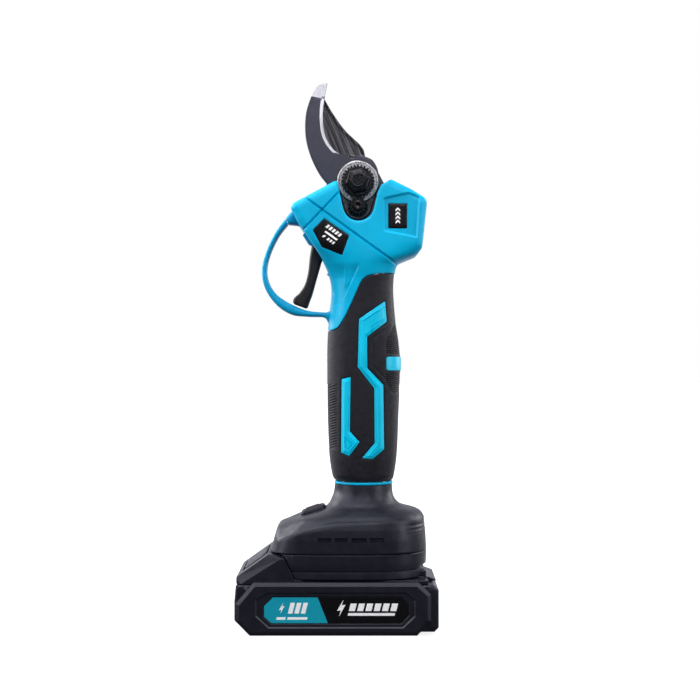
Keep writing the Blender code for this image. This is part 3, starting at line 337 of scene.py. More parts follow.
COOL = (0.82, 0.85, 1.0, 1)
LOOKS = {
    "teal_plastic": moulded("teal plastic", srgb(0, 174, 218), 0.36, Specular_IOR_Level=0.18),
    "guard_plastic": moulded("guard plastic", srgb(0, 152, 200), 0.42, Specular_IOR_Level=0.2),
    "inlay": moulded("inlay plastic", srgb(0, 190, 226), 0.34, grain=0.3, depth=0.012,
                      Specular_IOR_Level=0.25),
    "grip_rubber": rubbery("grip rubber", srgb(18, 18, 28), 0.58),
    "foot_plastic": moulded("foot plastic", srgb(22, 22, 32), 0.41, grain=0.45, depth=0.022,
                            Specular_IOR_Level=0.32, Specular_Tint=COOL),
    "trigger_plastic": moulded("trigger plastic", srgb(21, 20, 26), 0.44, grain=0.5, depth=0.04,
                               Specular_IOR_Level=0.35),
    "battery_plastic": moulded("battery plastic", srgb(22, 22, 31), 0.37, grain=0.5, depth=0.022,
                               Specular_IOR_Level=0.36, Specular_Tint=COOL),
    "button_red": printed("button symbol", srgb(150, 42, 48), 0.45),
    "hook_steel": moulded("coated hook steel", srgb(63, 63, 76), 0.44, grain=0.3, depth=0.006, Metallic=0.65),
    "blade_steel": brushed("ground blade steel", srgb(80, 78, 84), 0.34, (0, 22, 0), metallic=0.75, along=34,
                           across=0.6, contrast=0.75, depth=0.02),
    "ground_edge": brushed("bright ground edge", srgb(214, 214, 222), 0.42, (0, 8, 0), metallic=0.3, along=14,
                           across=0.5, contrast=0.09, depth=0.002),
    "ground_tip": brushed("bright ground tip", srgb(190, 190, 198), 0.5, (0, 8, 0), metallic=0.2, along=14,
                          across=0.5, contrast=0.12, depth=0.002),
    "case_alloy": cast("cast case alloy", srgb(62, 62, 66), 0.5),
    "black_steel": oxide("black oxide steel", srgb(34, 34, 38), 0.27),
    "washer_face": oxide("washer face", srgb(146, 144, 150), 0.4),
    "bright_steel": brushed("bright steel", srgb(190, 190, 194), 0.28, (0, 30, 0), 1.0, 12, 0.3, 0.15),
    "motor_windings": wound("motor windings"),
    "circuit_board": circuit("circuit board"),
    "cell_sleeve": sleeved("cell sleeve"),
    "label_black": printed("label film black", srgb(8, 8, 12), 0.32, Specular_IOR_Level=0.22),
    "label_teal": printed("label film teal", srgb(0, 148, 172), 0.34),
    "label_white": printed("label ink white", srgb(244, 244, 246), 0.4),
}


# Plane geometry


def resample(line, step, closed=True):
    """Points along a polyline, with its corners kept, no further apart than step."""
    out = []
    for (ax, az), (bx, bz) in zip(line, line[1:] + (line[:1] if closed else [])):
        count = max(1, int(np.ceil(hypot(bx - ax, bz - az) / step - 1e-6)))
        out += [(ax + (bx - ax) * i / count, az + (bz - az) * i / count) for i in range(count)]
    return out if closed else out + [line[-1]]


def fillet(outline, radius, steps=5, closed=True):
    """The outline with its corners rounded by about the radius."""
    out = []
    last = len(outline) - 1
    for i, point in enumerate(outline):
        corner = Vector(point)
        if not closed and i in (0, last):
            out.append(tuple(point))
            continue
        before, after = Vector(outline[i - 1]) - corner, Vector(outline[(i + 1) % len(outline)]) - corner
        half = acos(max(-1.0, min(1.0, before.normalized().dot(after.normalized())))) / 2
        if half > radians(87):
            out.append(tuple(point))
            continue
        reach = min(radius / tan(half), 0.48 * before.length, 0.48 * after.length)
        start, end = corner + before.normalized() * reach, corner + after.normalized() * reach
        for k in range(steps + 1):
            t = k / steps
            out.append(tuple(start * (1 - t) ** 2 + corner * 2 * t * (1 - t) + end * t * t))
    return out


def circle(centre, radius, count=48, start=0.0, end=360.0):
    whole = abs(end - start) > 359.9
    steps = count if whole else count - 1
    turns = [radians(start + (end - start) * i / steps) for i in range(count)]
    return [(centre[0] + radius * cos(t), centre[1] + radius * sin(t)) for t in turns]


def smooth_line(points, count):
    """Points at even steps along a Catmull-Rom curve through a few given points of any dimension."""
    ends = np.array([points[0], *points, points[-1]], float)
    line = []
    for i in range(count):
        along = i / (count - 1) * (len(points) - 1)
        k = min(int(along), len(points) - 2)
        t = along - k
        weights = np.array((-t**3 + 2 * t**2 - t, 3 * t**3 - 5 * t**2 + 2,
                            -3 * t**3 + 4 * t**2 + t, t**3 - t**2))
        line.append(tuple(weights @ ends[k:k + 4] / 2))
    return line


def hull(points):
    """The convex outline round some points, anticlockwise."""
    points = sorted(set((round(x, 4), round(z, 4)) for x, z in points))

    def half(ordered):
        chain = []
        for p in ordered:
            while len(chain) > 1 and ((chain[-1][0] - chain[-2][0]) * (p[1] - chain[-2][1])
                                      - (chain[-1][1] - chain[-2][1]) * (p[0] - chain[-2][0])) <= 0:
                chain.pop()
            chain.append(p)
        return chain[:-1]

    return half(points) + half(points[::-1])


def beside(line, offset, closed=True):
    """The polyline moved to its left by an offset. Left is inwards on an anticlockwise outline."""
    points = np.array(line, float)
    if closed:
        before, after = points - np.roll(points, 1, 0), np.roll(points, -1, 0) - points
    else:
        steps = np.diff(points, axis=0)
        before, after = np.vstack([steps[:1], steps]), np.vstack([steps, steps[-1:]])
    unit = [v / np.maximum(np.linalg.norm(v, axis=1, keepdims=True), 1e-9) for v in (before, after)]
    normals = [np.column_stack([-v[:, 1], v[:, 0]]) for v in unit]
    total = normals[0] + normals[1]
    total /= np.maximum(np.linalg.norm(total, axis=1, keepdims=True), 1e-9)
    reach = offset / np.maximum(0.5, (total * normals[0]).sum(axis=1))
    return [tuple(p) for p in points + total * reach[:, None]]


def distance(x, z, line, closed=True):
    """Distance from each point to a polyline."""
    best = np.full(np.shape(x), 1e9)
    for (ax, az), (bx, bz) in zip(line, line[1:] + (line[:1] if closed else [])):
        dx, dz = bx - ax, bz - az
        size = dx * dx + dz * dz
        if size < 1e-12:
            continue
        t = np.clip(((x - ax) * dx + (z - az) * dz) / size, 0, 1)
        best = np.minimum(best, np.hypot(x - ax - t * dx, z - az - t * dz))
    return best


def within(x, z, loop):
    """Whether each point is inside a closed outline."""
    odd = np.zeros(np.shape(x), bool)
    for (ax, az), (bx, bz) in zip(loop, loop[1:] + loop[:1]):
        if az == bz:
            continue
        crosses = ((az > z) != (bz > z)) & (x < (bx - ax) * (z - az) / (bz - az) + ax)
        odd ^= crosses
    return odd


def in_region(x, z, loops):
    """Whether each point is inside the first outline and outside the others."""
    keep = within(x, z, loops[0])
    for loop in loops[1:]:
        keep &= ~within(x, z, loop)
    return keep


def ramp(t):
    t = np.clip(t, 0, 1)
    return t * t * (3 - 2 * t)


def edge_round(d, radius):
    """How far a surface falls, at a distance d from its edge, when the edge is rounded by the radius."""
    reach = np.clip(radius - d, 0, radius)
    return radius - np.sqrt(radius * radius - reach * reach)


def groove(x, z, line, half_width, depth):
    """Depth of a round-bottomed groove along an open line."""
    return depth * (1 - ramp(distance(x, z, line, closed=False) / half_width))


def pocket(x, z, loop, wall, depth):
    """Depth of a flat-bottomed pocket with sloping walls just inside its outline."""
    return np.where(within(x, z, loop), depth * ramp(distance(x, z, loop) / wall), 0)


ROUND_STEPS = [1 - cos(radians(turn)) for turn in (6, 15, 26, 38, 52, 68, 90)]


def triangulate(loops, marks=(), rounding=(), spacing=1.0):
    """Triangles over the region inside loops[0] and outside the rest.

    Marks are (polyline, closed) pairs that become edges. Rounding is (line, radius, closed) triples: rows of
    points are laid inside each such line, closer together near it, so that its edge can be rounded.
    """
    verts, edges = [], []

    def add_line(points, closed):
        first = len(verts)
        verts.extend(points)
        count = len(points)
        edges.extend((first + i, first + (i + 1) % count) for i in range(count if closed else count - 1))

    for loop in loops:
        add_line(resample(loop, spacing), True)
    for line, closed in marks:
        add_line(resample(line, spacing, closed), closed)
    extra = []
    for line, radius, closed in rounding:
        fine = resample(line, spacing, closed)
        for share in ROUND_STEPS:
            row = beside(fine, radius * share, closed)
            xs, zs = np.array(row).T
            keep = distance(xs, zs, line, closed) > 0.96 * radius * share
            extra += [p for p, k in zip(row, keep) if k]
    low, high = np.min(loops[0], axis=0), np.max(loops[0], axis=0)
    grid = []
    for i, gz in enumerate(np.arange(low[1] + 0.31 * spacing, high[1], spacing * 0.87)):
        start = low[0] + (0.25 if i % 2 else 0.75) * spacing
        grid += [(gx, gz) for gx in np.arange(start, high[0], spacing)]
    chosen = []
    for points, clear in ((extra, 0.06), (grid, 0.55 * spacing)):
        taken = verts + chosen
        tree = kdtree.KDTree(len(taken))
        for i, (x, z) in enumerate(taken):
            tree.insert((x, z, 0), i)
        tree.balance()
        xs, zs = np.array(points).T if points else (np.zeros(0), np.zeros(0))
        keep = in_region(xs, zs, loops)
        chosen += [p for p, k in zip(points, keep) if k and tree.find((*p, 0))[2] >= clear]
    points, _, faces, *_ = delaunay_2d_cdt([Vector(p) for p in verts + chosen], edges, [], 0, 1e-5)
    points = np.array([tuple(p) for p in points])
    faces = np.array([f for f in faces if len(f) == 3])
    centres = points[faces].mean(axis=1)
    keep = in_region(centres[:, 0], centres[:, 1], loops)
    a, b, c = (points[faces[:, k]] for k in range(3))
    area = (b[:, 0] - a[:, 0]) * (c[:, 1] - a[:, 1]) - (b[:, 1] - a[:, 1]) * (c[:, 0] - a[:, 0])
    keep &= np.abs(area) > 1e-7
    faces = np.where((area > 0)[:, None], faces, faces[:, ::-1])[keep]
    used = np.unique(faces)
    index = np.full(len(points), -1)
    index[used] = np.arange(len(used))
    return points[used], index[faces]


# Solid geometry


def finish_piece(name, builder, look, body, replaced=(), slot=None, sharp=32):
    """Makes a piece from mesh data in millimetres, gives it a finish, and hangs it on a body."""
    bmesh.ops.scale(builder, vec=(MM, MM, MM), verts=builder.verts)
    mesh = bpy.data.meshes.new(name)
    builder.to_mesh(mesh)
    builder.free()
    made = bpy.data.objects.new(name, mesh)
    bpy.context.scene.collection.objects.link(made)
    for one in ([look] if isinstance(look, str) else look):
        mesh.materials.append(LOOKS[one].material)
    mesh.shade_smooth()
    mesh.set_sharp_from_angle(angle=radians(sharp))
    if body:
        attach(made, body)
    if replaced:
        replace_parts(made, *replaced)
    first = look if isinstance(look, str) else look[0]
    slot or first
    return made


def settle(made, *modifiers, sharp=32):
    """Applies modifiers, given as (kind, settings), to a piece's mesh."""
    for kind, settings in modifiers:
        step = made.modifiers.new(kind.title(), kind)
        for key, value in settings.items():
            setattr(step, key, value)
    bpy.context.view_layer.update()
    graph = bpy.context.evaluated_depsgraph_get()
    fresh = bpy.data.meshes.new_from_object(made.evaluated_get(graph))
    made.modifiers.clear()
    made.data = fresh
    fresh.shade_smooth()
    fresh.set_sharp_from_angle(angle=radians(sharp))
    return made


def add_relief(builder, region, depth, side, skirt=None, back=None, paint=None):
    """Adds a relief to mesh data. Skirt(x, z, depth) gives the points that carry its border on, row by row.

    With back, a depth or a formula for one, the relief is closed by walls and a second face.
    """
    points, faces = region
    x, z = points[:, 0], points[:, 1]
    depths = np.broadcast_to(depth(x, z), x.shape)
    front = [builder.verts.new((px, side * d, pz)) for px, pz, d in zip(x, z, depths)]
    order = (0, 1, 2) if side < 0 else (0, 2, 1)
    for face in faces:
        made = builder.faces.new([front[face[k]] for k in order])
        if paint:
            made.material_index = paint(*points[face].mean(axis=0))
    ends = np.concatenate([faces[:, [0, 1]], faces[:, [1, 2]], faces[:, [2, 0]]])
    keys = {}
    for a, b in ends:
        keys[(a, b)] = keys.get((a, b), 0) + 1
    border = [(a, b) for a, b in keys if (b, a) not in keys]
    rim = sorted(set(v for pair in border for v in pair))
    rows = []
    if skirt:
        rx, rz, rd = x[rim], z[rim], depths[rim]
        for sx, sz, sd in skirt(rx, rz, rd):
            rows.append({v: builder.verts.new((px, side * d, pz)) for v, px, pz, d in zip(rim, sx, sz, sd)})
    if back is not None:
        behind = np.broadcast_to(back(x, z) if callable(back) else back, x.shape)
        rear = [builder.verts.new((px, side * d, pz)) for px, pz, d in zip(x, z, behind)]
        for face in faces:
            made = builder.faces.new([rear[face[k]] for k in order[::-1]])
            if paint:
                made.material_index = paint(*points[face].mean(axis=0))
        rows.append({v: rear[v] for v in rim})
    above = {v: front[v] for v in rim}
    for row in rows:
        for a, b in border:
            quad = (above[a], row[a], row[b], above[b])
            builder.faces.new(quad if side < 0 else quad[::-1])
        above = row


def skin(builder, rows, closed=True, caps=True, flip=False):
    """Faces between rows of points of equal count. Closed rows are rings."""
    made = [[builder.verts.new(p) for p in row] for row in rows]
    count = len(rows[0])
    for lower, upper in zip(made, made[1:]):
        for i in range(count if closed else count - 1):
            j = (i + 1) % count
            quad = (lower[i], lower[j], upper[j], upper[i])
            builder.faces.new(quad[::-1] if flip else quad)
    if caps:
        builder.faces.new(made[0] if flip else made[0][::-1])
        builder.faces.new(made[-1][::-1] if flip else made[-1])
    return made


def cut_away(made, *builders, sharp=32):
    """Cuts closed shapes, given as mesh data in millimetres, from a piece."""
    cutters = []
    for i, builder in enumerate(builders):
        bmesh.ops.scale(builder, vec=(MM, MM, MM), verts=builder.verts)
        bmesh.ops.recalc_face_normals(builder, faces=builder.faces)
        mesh = bpy.data.meshes.new(f"cutter {i}")
        builder.to_mesh(mesh)
        builder.free()
        cutter = bpy.data.objects.new(f"cutter {i}", mesh)
        bpy.context.scene.collection.objects.link(cutter)
        cutters.append(cutter)
    settle(made, *[("BOOLEAN", {"operation": "DIFFERENCE", "object": c, "solver": "EXACT"}) for c in cutters],
           sharp=sharp)
    for cutter in cutters:
        bpy.data.objects.remove(cutter)
    return made


def block(low, high):
    """A box as mesh data, for cutting."""
    builder = bmesh.new()
    bmesh.ops.create_cube(builder, size=1)
    low, high = Vector(low), Vector(high)
    builder.transform(Matrix.Translation((low + high) / 2) @ Matrix.Diagonal((*(high - low), 1)))
    return builder


def slab(outline, near, far):
    """A flat outline in X and Z made solid between two values of Y, for cutting or joining."""
    builder = bmesh.new()
    skin(builder, [[(x, near, z) for x, z in outline], [(x, far, z) for x, z in outline]])
    bmesh.ops.recalc_face_normals(builder, faces=builder.faces)
    return builder


# Handle

HANDLE = [(83.4, -0.9, 31.7, 16.3), (87.0, -2.8, 33.0, 17.4), (100.0, -4.6, 34.7, 18.6),
          (122.0, -5.5, 35.6, 19.3), (148.0, -5.7, 36.6, 19.5), (162.0, -5.6, 35.9, 19.3),
          (176.0, -4.8, 33.8, 18.9), (191.0, -3.3, 32.6, 18.8), (200.0, -4.2, 32.8, 19.2),
          (207.0, -6.4, 34.0, 19.8)]
HANDLE_FINE = np.array(smooth_line(HANDLE, 200))
RUBBER_EDGE = fillet([(-30.0, 169.6), (-2.9, 169.9), (0.7, 171.3), (4.3, 177.1), (8.6, 185.8), (12.3, 194.5),
                      (14.4, 198.8), (17.3, 201.0), (23.2, 202.1), (60.0, 204.6)], 6, 4, closed=False)
RUBBER_GAP = 0.3


def handle_at(z):
    """Front edge, back edge, half depth and squareness of the handle at a height."""
    front, back, half = (np.interp(z, HANDLE_FINE[:, 0], HANDLE_FINE[:, k]) for k in (1, 2, 3))
    return front, back, half, np.interp(z, (83.4, 87.0), (2.0, 2.5))


def handle_depth(x, z):
    front, back, half, power = handle_at(z)
    share = np.clip(np.abs(x - (front + back) / 2) / ((back - front) / 2), 0, 1)
    return half * (1 - share**power) ** (1 / power)


def handle_point(turn, z, lift=0.0):
    """A point of the handle's surface. A turn of 0 is the back of the hand and 90 degrees the rear side."""
    front, back, half, power = handle_at(z)
    x, y = np.cos(turn), np.sin(turn)
    reach = (back - front) / 2 + lift
    return ((front + back) / 2 + reach * np.sign(x) * np.abs(x) ** (2 / power),
            (half + lift) * np.sign(y) * np.abs(y) ** (2 / power), z)


INLAY_LONG = [(27.4, 186.5), (12.7, 176.3), (11.9, 149.0), (21.3, 136.8), (21.5, 105.9), (14.4, 97.3),
              (20.3, 96.8), (26.9, 102.3), (26.4, 138.8), (17.2, 148.5), (17.2, 166.2), (28.4, 174.8)]
INLAY_SHORT = [(2.8, 142.1), (2.5, 100.3), (7.1, 98.5), (12.9, 106.4), (7.4, 112.5), (7.9, 143.4)]
PATCH_LOW, PATCH_HIGH = 146.8, 155.0
FINGER_PITCH, PALM_PITCH = 1.5, 1.15
MOULDING = 1.6


def ribs(x, y, z):
    """Raised bars across the finger side and the palm side of the grip, in millimetres of lift."""
    finger_bars = 0.5 + 0.5 * np.cos(2 * pi * (z - 0.22 * np.abs(y)) / FINGER_PITCH)
    finger = ramp((-0.2 - x) / 0.5) * ramp((z - 101.6) / 0.8) * ramp((139.4 - z) / 0.8)
    palm_bars = 0.5 + 0.5 * np.cos(2 * pi * (z - 0.12 * np.abs(y)) / PALM_PITCH)
    start = 27.3 + 0.5 * np.maximum(np.abs(z - 152) - 12, 0)
    palm = ramp((x - start) / 1.5) * (ramp((z - 133) / 2) * ramp((145.8 - z) / 0.6)
                                      + ramp((z - 156.0) / 0.6) * ramp((176 - z) / 2))
    return -0.6 * (finger * finger_bars + palm * palm_bars)


def moat(x, z):
    """The fine channel in the rubber round each inlay, and the shaped edges beside it."""
    fall = np.zeros(np.shape(x))
    for outline in (INLAY_LONG, INLAY_SHORT):
        away = np.where(within(x, z, outline), 0, distance(x, z, outline))
        fall -= 0.5 * (1 - ramp(away / 0.7))
    fall -= 0.3 * (1 - ramp(np.abs(x + 0.1) / 0.45)) * ramp((z - 101) / 1) * ramp((140 - z) / 1)
    ledge = [(30.6, 172.8), (20.4, 165.0), (20.4, 150.0), (29.0, 141.0)]
    fall -= 0.35 * (1 - ramp(distance(x, z, ledge, closed=False) / 0.5))
    return fall


def grip(side):
    """Half of the rubber skin: a fine grid over the handle, cut to the slanting edge of the head moulding."""
    near = [0.006, 0.014, 0.03]
    columns = np.concatenate([near, np.linspace(0.06, pi - 0.06, 112), [pi - c for c in near[::-1]]])
    edge_x, edge_z = np.array(RUBBER_EDGE).T
    turns = side * columns
    top = np.full(len(turns), 180.0)
    for _ in range(12):
        x, _, _ = handle_point(turns, top)
        top = np.interp(x, edge_x, edge_z) - RUBBER_GAP
    low = 83.5
    bands = [(0.006, 0.145, 28), (0.145, 0.47, 104), (0.47, 0.775, 136), (0.775, 0.994, 44)]
    fine = [np.linspace(start, end, count, endpoint=False) for start, end, count in bands]
    shares = np.concatenate([[0, 0.001, 0.003], *fine, [0.994, 0.997, 0.999, 1]])
    rows = []
    for share in shares:
        z = low + (top - low) * share
        x, y, _ = handle_point(turns, z)
        lift = ribs(x, y, z) + moat(x, z) - edge_round(np.minimum(z - low, top - z), 0.6)
        lift = lift - edge_round(np.minimum(columns, pi - columns) * 16, 0.35)
        x, y, _ = handle_point(turns, z, lift)
        rows.append(list(zip(x, side * np.maximum(np.abs(y), SEAM), z)))
    builder = bmesh.new()
    skin(builder, rows, closed=False, caps=False, flip=side < 0)
    label = "front" if side < 0 else "rear"
    made = finish_piece("grip_" + label, builder, "grip_rubber", None, sharp=50)
    settle(made, ("SOLIDIFY", {"thickness": MOULDING * MM, "offset": -1.0}), sharp=50)
    keep_to_side(made, side)
    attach(made, "tool")
    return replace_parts(made, "grip_rubber_" + label)


def keep_to_side(made, side):
    """Stops a half's mesh at the seam."""
    for vertex in made.data.vertices:
        if vertex.co.y * side < SEAM * MM:
            vertex.co.y = side * SEAM * MM


def inlay_lift(x, z, outline, ridge, lines):
    """An inlay's height over the rubber: a sloping border, a raised core, and thin engraved lines."""
    edge = distance(x, z, outline)
    lift = 0.25 - edge_round(edge, 0.3) + 0.2 * np.clip(edge / ridge, 0, 1) + 0.5 * ramp((edge - ridge) / 0.4)
    for line in lines:
        lift = lift - groove(x, z, line, 0.42, 0.5)
    return lift


def inlays(side):
    """Blue inlays let into the rubber: a long angular one and a short one with an arrow foot."""
    label = "front" if side < 0 else "rear"
    top_lines = [[(15.2, 175.0), (26.9, 182.7)], [(19.6, 167.6), (19.6, 171.6), (27.2, 176.9)]]
    foot_line = [(4.8, 103.6), (4.8, 109.0), (8.8, 105.2), (6.6, 102.2), (4.8, 103.6)]
    shapes = [("long", INLAY_LONG, 1.3, top_lines), ("short", INLAY_SHORT, 1.2, [foot_line])]
    for kind, outline, ridge, lines in shapes:
        loop = anticlockwise(outline)
        marks = [(beside(loop, ridge), True), (beside(loop, ridge + 0.4), True)]
        marks += [(beside(line, offset, False), False) for line in lines for offset in (-0.42, 0, 0.42)]
        region = triangulate([fillet(loop, 0.5, 2)], marks, [(loop, 0.3, True)], 0.7)
        builder = bmesh.new()
        add_relief(builder, region, lambda x, z: handle_depth(x, z) + inlay_lift(x, z, loop, ridge, lines),
                   side, skirt=lambda x, z, d: [(x, z, d - 1.0)], back=lambda x, z: handle_depth(x, z) - 1.2)
        finish_piece(f"inlay_{kind}_{label}", builder, "inlay", "tool", slot="teal_plastic", sharp=24)


def palm_patch():
    """The blue patch that wraps the palm side of the grip."""
    middle_z, half_z = (PATCH_LOW + PATCH_HIGH) / 2, (PATCH_HIGH - PATCH_LOW) / 2
    turns = np.linspace(-1, 1, 61)
    reach = 1.03
    rows = []
    for share in np.linspace(-1, 1, 25):
        row = []
        for t in turns:
            corner = max(0.0, (abs(t) - 0.86) / 0.14)
            height = half_z * (1 - 0.32 * (1 - sqrt(max(0.0, 1 - corner**2))))
            z = middle_z + height * share
            edge = min(half_z * (1 - abs(share)), 16 * reach * (1 - abs(t)))
            lift = 0.5 - float(edge_round(edge, 0.5)) * 1.8
            row.append(tuple(float(v) for v in handle_point(reach * t, z, lift)))
        rows.append(row)
    builder = bmesh.new()
    skin(builder, rows, closed=False, caps=False)
    made = finish_piece("palm_patch", builder, "inlay", None, slot="teal_plastic")
    settle(made, ("SOLIDIFY", {"thickness": 0.8 * MM, "offset": -1.0}))
    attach(made, "tool")


def anticlockwise(loop):
    area = sum(ax * bz - bx * az for (ax, az), (bx, bz) in zip(loop, loop[1:] + loop[:1]))
    return list(loop) if area > 0 else list(loop)[::-1]


# Head

HEAD_ROOF = [(42.6, 250.0), (31.4, 255.5)]
NOTCH = ([(29.0, 254.7), (25.2, 252.2), (23.2, 247.9)] + circle((12.3, 240.9), 8.9, 40, -14, -166)
         + [(0.15, 254.75)])
HEAD_LEFT = [(-1.3, 254.75), (-24.6, 242.4), (-26.5, 239.6), (-22.7, 232.0), (-14.0, 219.2), (-8.9, 211.5),
             (-5.9, 205.0)]
HEAD_RIGHT = [(33.9, 205.4), (35.0, 208.4), (45.6, 213.0), (48.6, 216.8), (51.6, 244.4)]
TRIGGER_SLOT = (201.5, 222.6)
CREASE = [(16.6, 216.4), (2.4, 185.0), (-2.9, 184.4), (-9.0, 184.4)]
GROOVES = [[(-19.5, 246.2), (35.5, 206.4)], [(1.4, 248.4), (-20.2, 225.6)]]
LABEL_A = [(-7.1, 233.1), (-13.5, 226.6), (-8.4, 217.0), (3.0, 212.4), (7.0, 223.6)]
FRAME = [(26.9, 245.3), (25.9, 244.3), (25.9, 227.1), (26.9, 225.6), (44.9, 222.0), (45.9, 222.5),
         (47.4, 245.8), (40.8, 248.3)]
LABEL_B = [(29.2, 241.7), (29.2, 227.6), (39.8, 227.6), (39.8, 241.7)]
HEAD_LABELS = (("label_side", anticlockwise(LABEL_A), 0.5), ("label_back", anticlockwise(LABEL_B), 0.4))
HEAD_ROUND, NOTCH_ROUND, RIM_ROUND = 4.2, 1.4, 0.7
GROOVE_HALF, GROOVE_DEPTH = 0.95, 1.25
FRAME_WALL = 1.3
STEP_X = 4.1
HOUSING_SCREWS = [(*middle(f"housing_screw_{k}"), span(f"housing_screw_{k}")[1].y) for k in range(1, 6)]


def handle_side(column, low, high, step):
    """Points up one edge of the handle's silhouette."""
    return [(float(np.interp(z, HANDLE_FINE[:, 0], HANDLE_FINE[:, column])), z)
            for z in np.arange(low, high, step)]


def silhouette():
    """The head and handle's outline down the left side, then up the right side, as two open lines."""
    left = fillet(NOTCH[-1:] + HEAD_LEFT + handle_side(1, 165, 201, 1.5)[::-1], 5.0, 6, closed=False)
    right = fillet(handle_side(2, 170, 203, 4) + HEAD_RIGHT + HEAD_ROOF, 5.0, 6, closed=False)
    return left, right


LEFT_LINE, RIGHT_LINE = silhouette()
EDGE_LINE = resample(RUBBER_EDGE, 1.0, closed=False)


def shell_outline():
    """The head moulding's region: both silhouettes, the rubber's edge below and the notch above."""
    left = [p for p in LEFT_LINE if p[1] > 169.95]
    right = [p for p in RIGHT_LINE if p[1] > 202.9]
    bottom = [p for p in EDGE_LINE if left[-1][0] + 0.2 < p[0] < right[0][0] - 0.2]
    return left + bottom + right + NOTCH[:-1]


SHELL_OUTLINE = shell_outline()
BAND = CREASE + [(-9.0, 165.0)] + [p for p in EDGE_LINE if -9.0 < p[0]] + [(60.0, 216.4)]


def shell_depth(x, z, side):
    """Half thickness of the head moulding: a rounded block above that flows into the oval handle below."""
    edge = np.minimum(distance(x, z, LEFT_LINE, False), distance(x, z, RIGHT_LINE, False))
    blocky = SHELL_DEPTH - edge_round(edge, HEAD_ROUND)
    left_x, left_z = np.array(LEFT_LINE[::-1]).T
    right_x, right_z = np.array(RIGHT_LINE).T
    rising = left_z < 239
    front = np.interp(z, left_z[rising], left_x[rising])
    back = np.interp(z, right_z[:-3], right_x[:-3])
    half = np.interp(z, (200, 214), (19.2, SHELL_DEPTH)) - np.interp(z, (176, 191, 200), (0.3, 0.4, 0.0))
    share = np.clip(np.abs(x - (front + back) / 2) / ((back - front) / 2), 0, 1)
    oval = half * (1 - share**2.5) ** 0.4
    blend = ramp((z - 199) / 22)
    depth = oval * (1 - blend) + blocky * blend
    depth = np.where(z < 199, np.minimum(depth, handle_depth(x, z) + 0.4), depth)
    fade = ramp((208.5 - z) / 5)
    in_band = within(x, z, BAND)
    crease = distance(x, z, CREASE, False)
    depth = depth - np.where(in_band, 0, 0.9 * fade * (1 - ramp((crease - 5) / 9)))
    depth = depth - np.where(in_band, 0.9 * fade * (1 - ramp(crease / 0.8)), 0)
    facet = ~in_band & (x > STEP_X) & (z > 193.5)
    step = ramp((x - STEP_X) / 0.4) * (1 - ramp((x - 4.6) / 7)) * ramp((z - 193.5) / 2)
    depth = depth + np.where(facet, 0.6 * fade * step, 0)
    for line in GROOVES:
        depth = depth - groove(x, z, line, GROOVE_HALF, GROOVE_DEPTH)
    depth = depth - pocket(x, z, FRAME, FRAME_WALL, 1.3)
    if side < 0:
        for _, outline, margin in HEAD_LABELS:
            depth = depth - pocket(x, z, beside(outline, -margin), 0.3, 0.3)
    else:
        for sx, sz, top in HOUSING_SCREWS[:3]:
            away = np.hypot(x - sx, z - sz)
            depth = np.where(away < 3.3, depth - 0.5 * ramp((3.3 - away) / 0.5), depth)
            depth = np.where(away < 2.5, top - 1.8, depth)
    depth = depth - edge_round(distance(x, z, NOTCH, False), NOTCH_ROUND)
    depth = depth - edge_round(distance(x, z, EDGE_LINE, False), RIM_ROUND)
    slotted = (z > TRIGGER_SLOT[0]) & (z < TRIGGER_SLOT[1]) & (x < 8)
    return np.maximum(depth, np.where(slotted, 5.0, 0.35))


def shell_skirt(side):
    """Carries the moulding's border in: to the seam, round the trigger slot, or down the notch's wall."""
    floor = 10.5 if side < 0 else 16.0

    def carry(x, z, depth):
        at_notch = distance(x, z, NOTCH, False) < 0.05
        at_edge = (distance(x, z, EDGE_LINE, False) < 0.05) & ~at_notch
        slotted = (z > TRIGGER_SLOT[0]) & (z < TRIGGER_SLOT[1]) & (x < 8)
        middle_x = np.clip(x, 2, 36)
        inward = np.sign(middle_x - x)
        down = np.clip(np.interp(z, (250, 256), (0, 1)), 0, 1)
        new_x = np.where(at_notch, x, np.where(at_edge, 15 + (x - 15) * 0.93, x + inward * 0.3))
        new_z = np.where(at_notch | at_edge, z, z - 0.3 * down)
        new_depth = np.where(at_notch, floor, np.where(at_edge, np.maximum(depth - 1.4, SEAM), SEAM))
        new_depth = np.where(slotted & ~at_notch, 5.0, new_depth)
        new_x = np.where(slotted & ~at_notch, x + 2.0, new_x)
        return [(new_x, new_z, new_depth)]

    return carry


def shell(side):
    label = "front" if side < 0 else "rear"
    frame_loop = anticlockwise(FRAME)
    marks = [(frame_loop, True), (beside(frame_loop, FRAME_WALL), True), (CREASE, False),
             (beside(CREASE, 0.7, False), False), ([(STEP_X, 193.5), (STEP_X, 209)], False),
             ([(4.5, 195), (4.5, 209)], False)]
    for line in GROOVES:
        for offset in (-GROOVE_HALF, -0.5, 0, 0.5, GROOVE_HALF):
            marks.append((beside(line, offset, False), False))
    if side < 0:
        for _, outline, margin in HEAD_LABELS:
            rim = beside(outline, -margin)
            marks += [(rim, True), (beside(rim, 0.3), True)]
    else:
        for sx, sz, _ in HOUSING_SCREWS[:3]:
            marks += [(circle((sx, sz), r, 24), True) for r in (3.3, 2.8, 2.52, 2.4)]
    rounding = [(LEFT_LINE, HEAD_ROUND, False), (RIGHT_LINE, HEAD_ROUND, False), (NOTCH, NOTCH_ROUND, False),
                (EDGE_LINE, RIM_ROUND, False)]
    region = triangulate([SHELL_OUTLINE], marks, rounding, 1.1)
    builder = bmesh.new()
    add_relief(builder, region, lambda x, z: shell_depth(x, z, side), side, skirt=shell_skirt(side))
    made = finish_piece("head_shell_" + label, builder, "teal_plastic", None, sharp=28)
    settle(made, ("SOLIDIFY", {"thickness": MOULDING * MM, "offset": -1.0}), sharp=28)
    keep_to_side(made, side)
    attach(made, "tool")
    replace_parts(made, "housing_" + label)
    return made


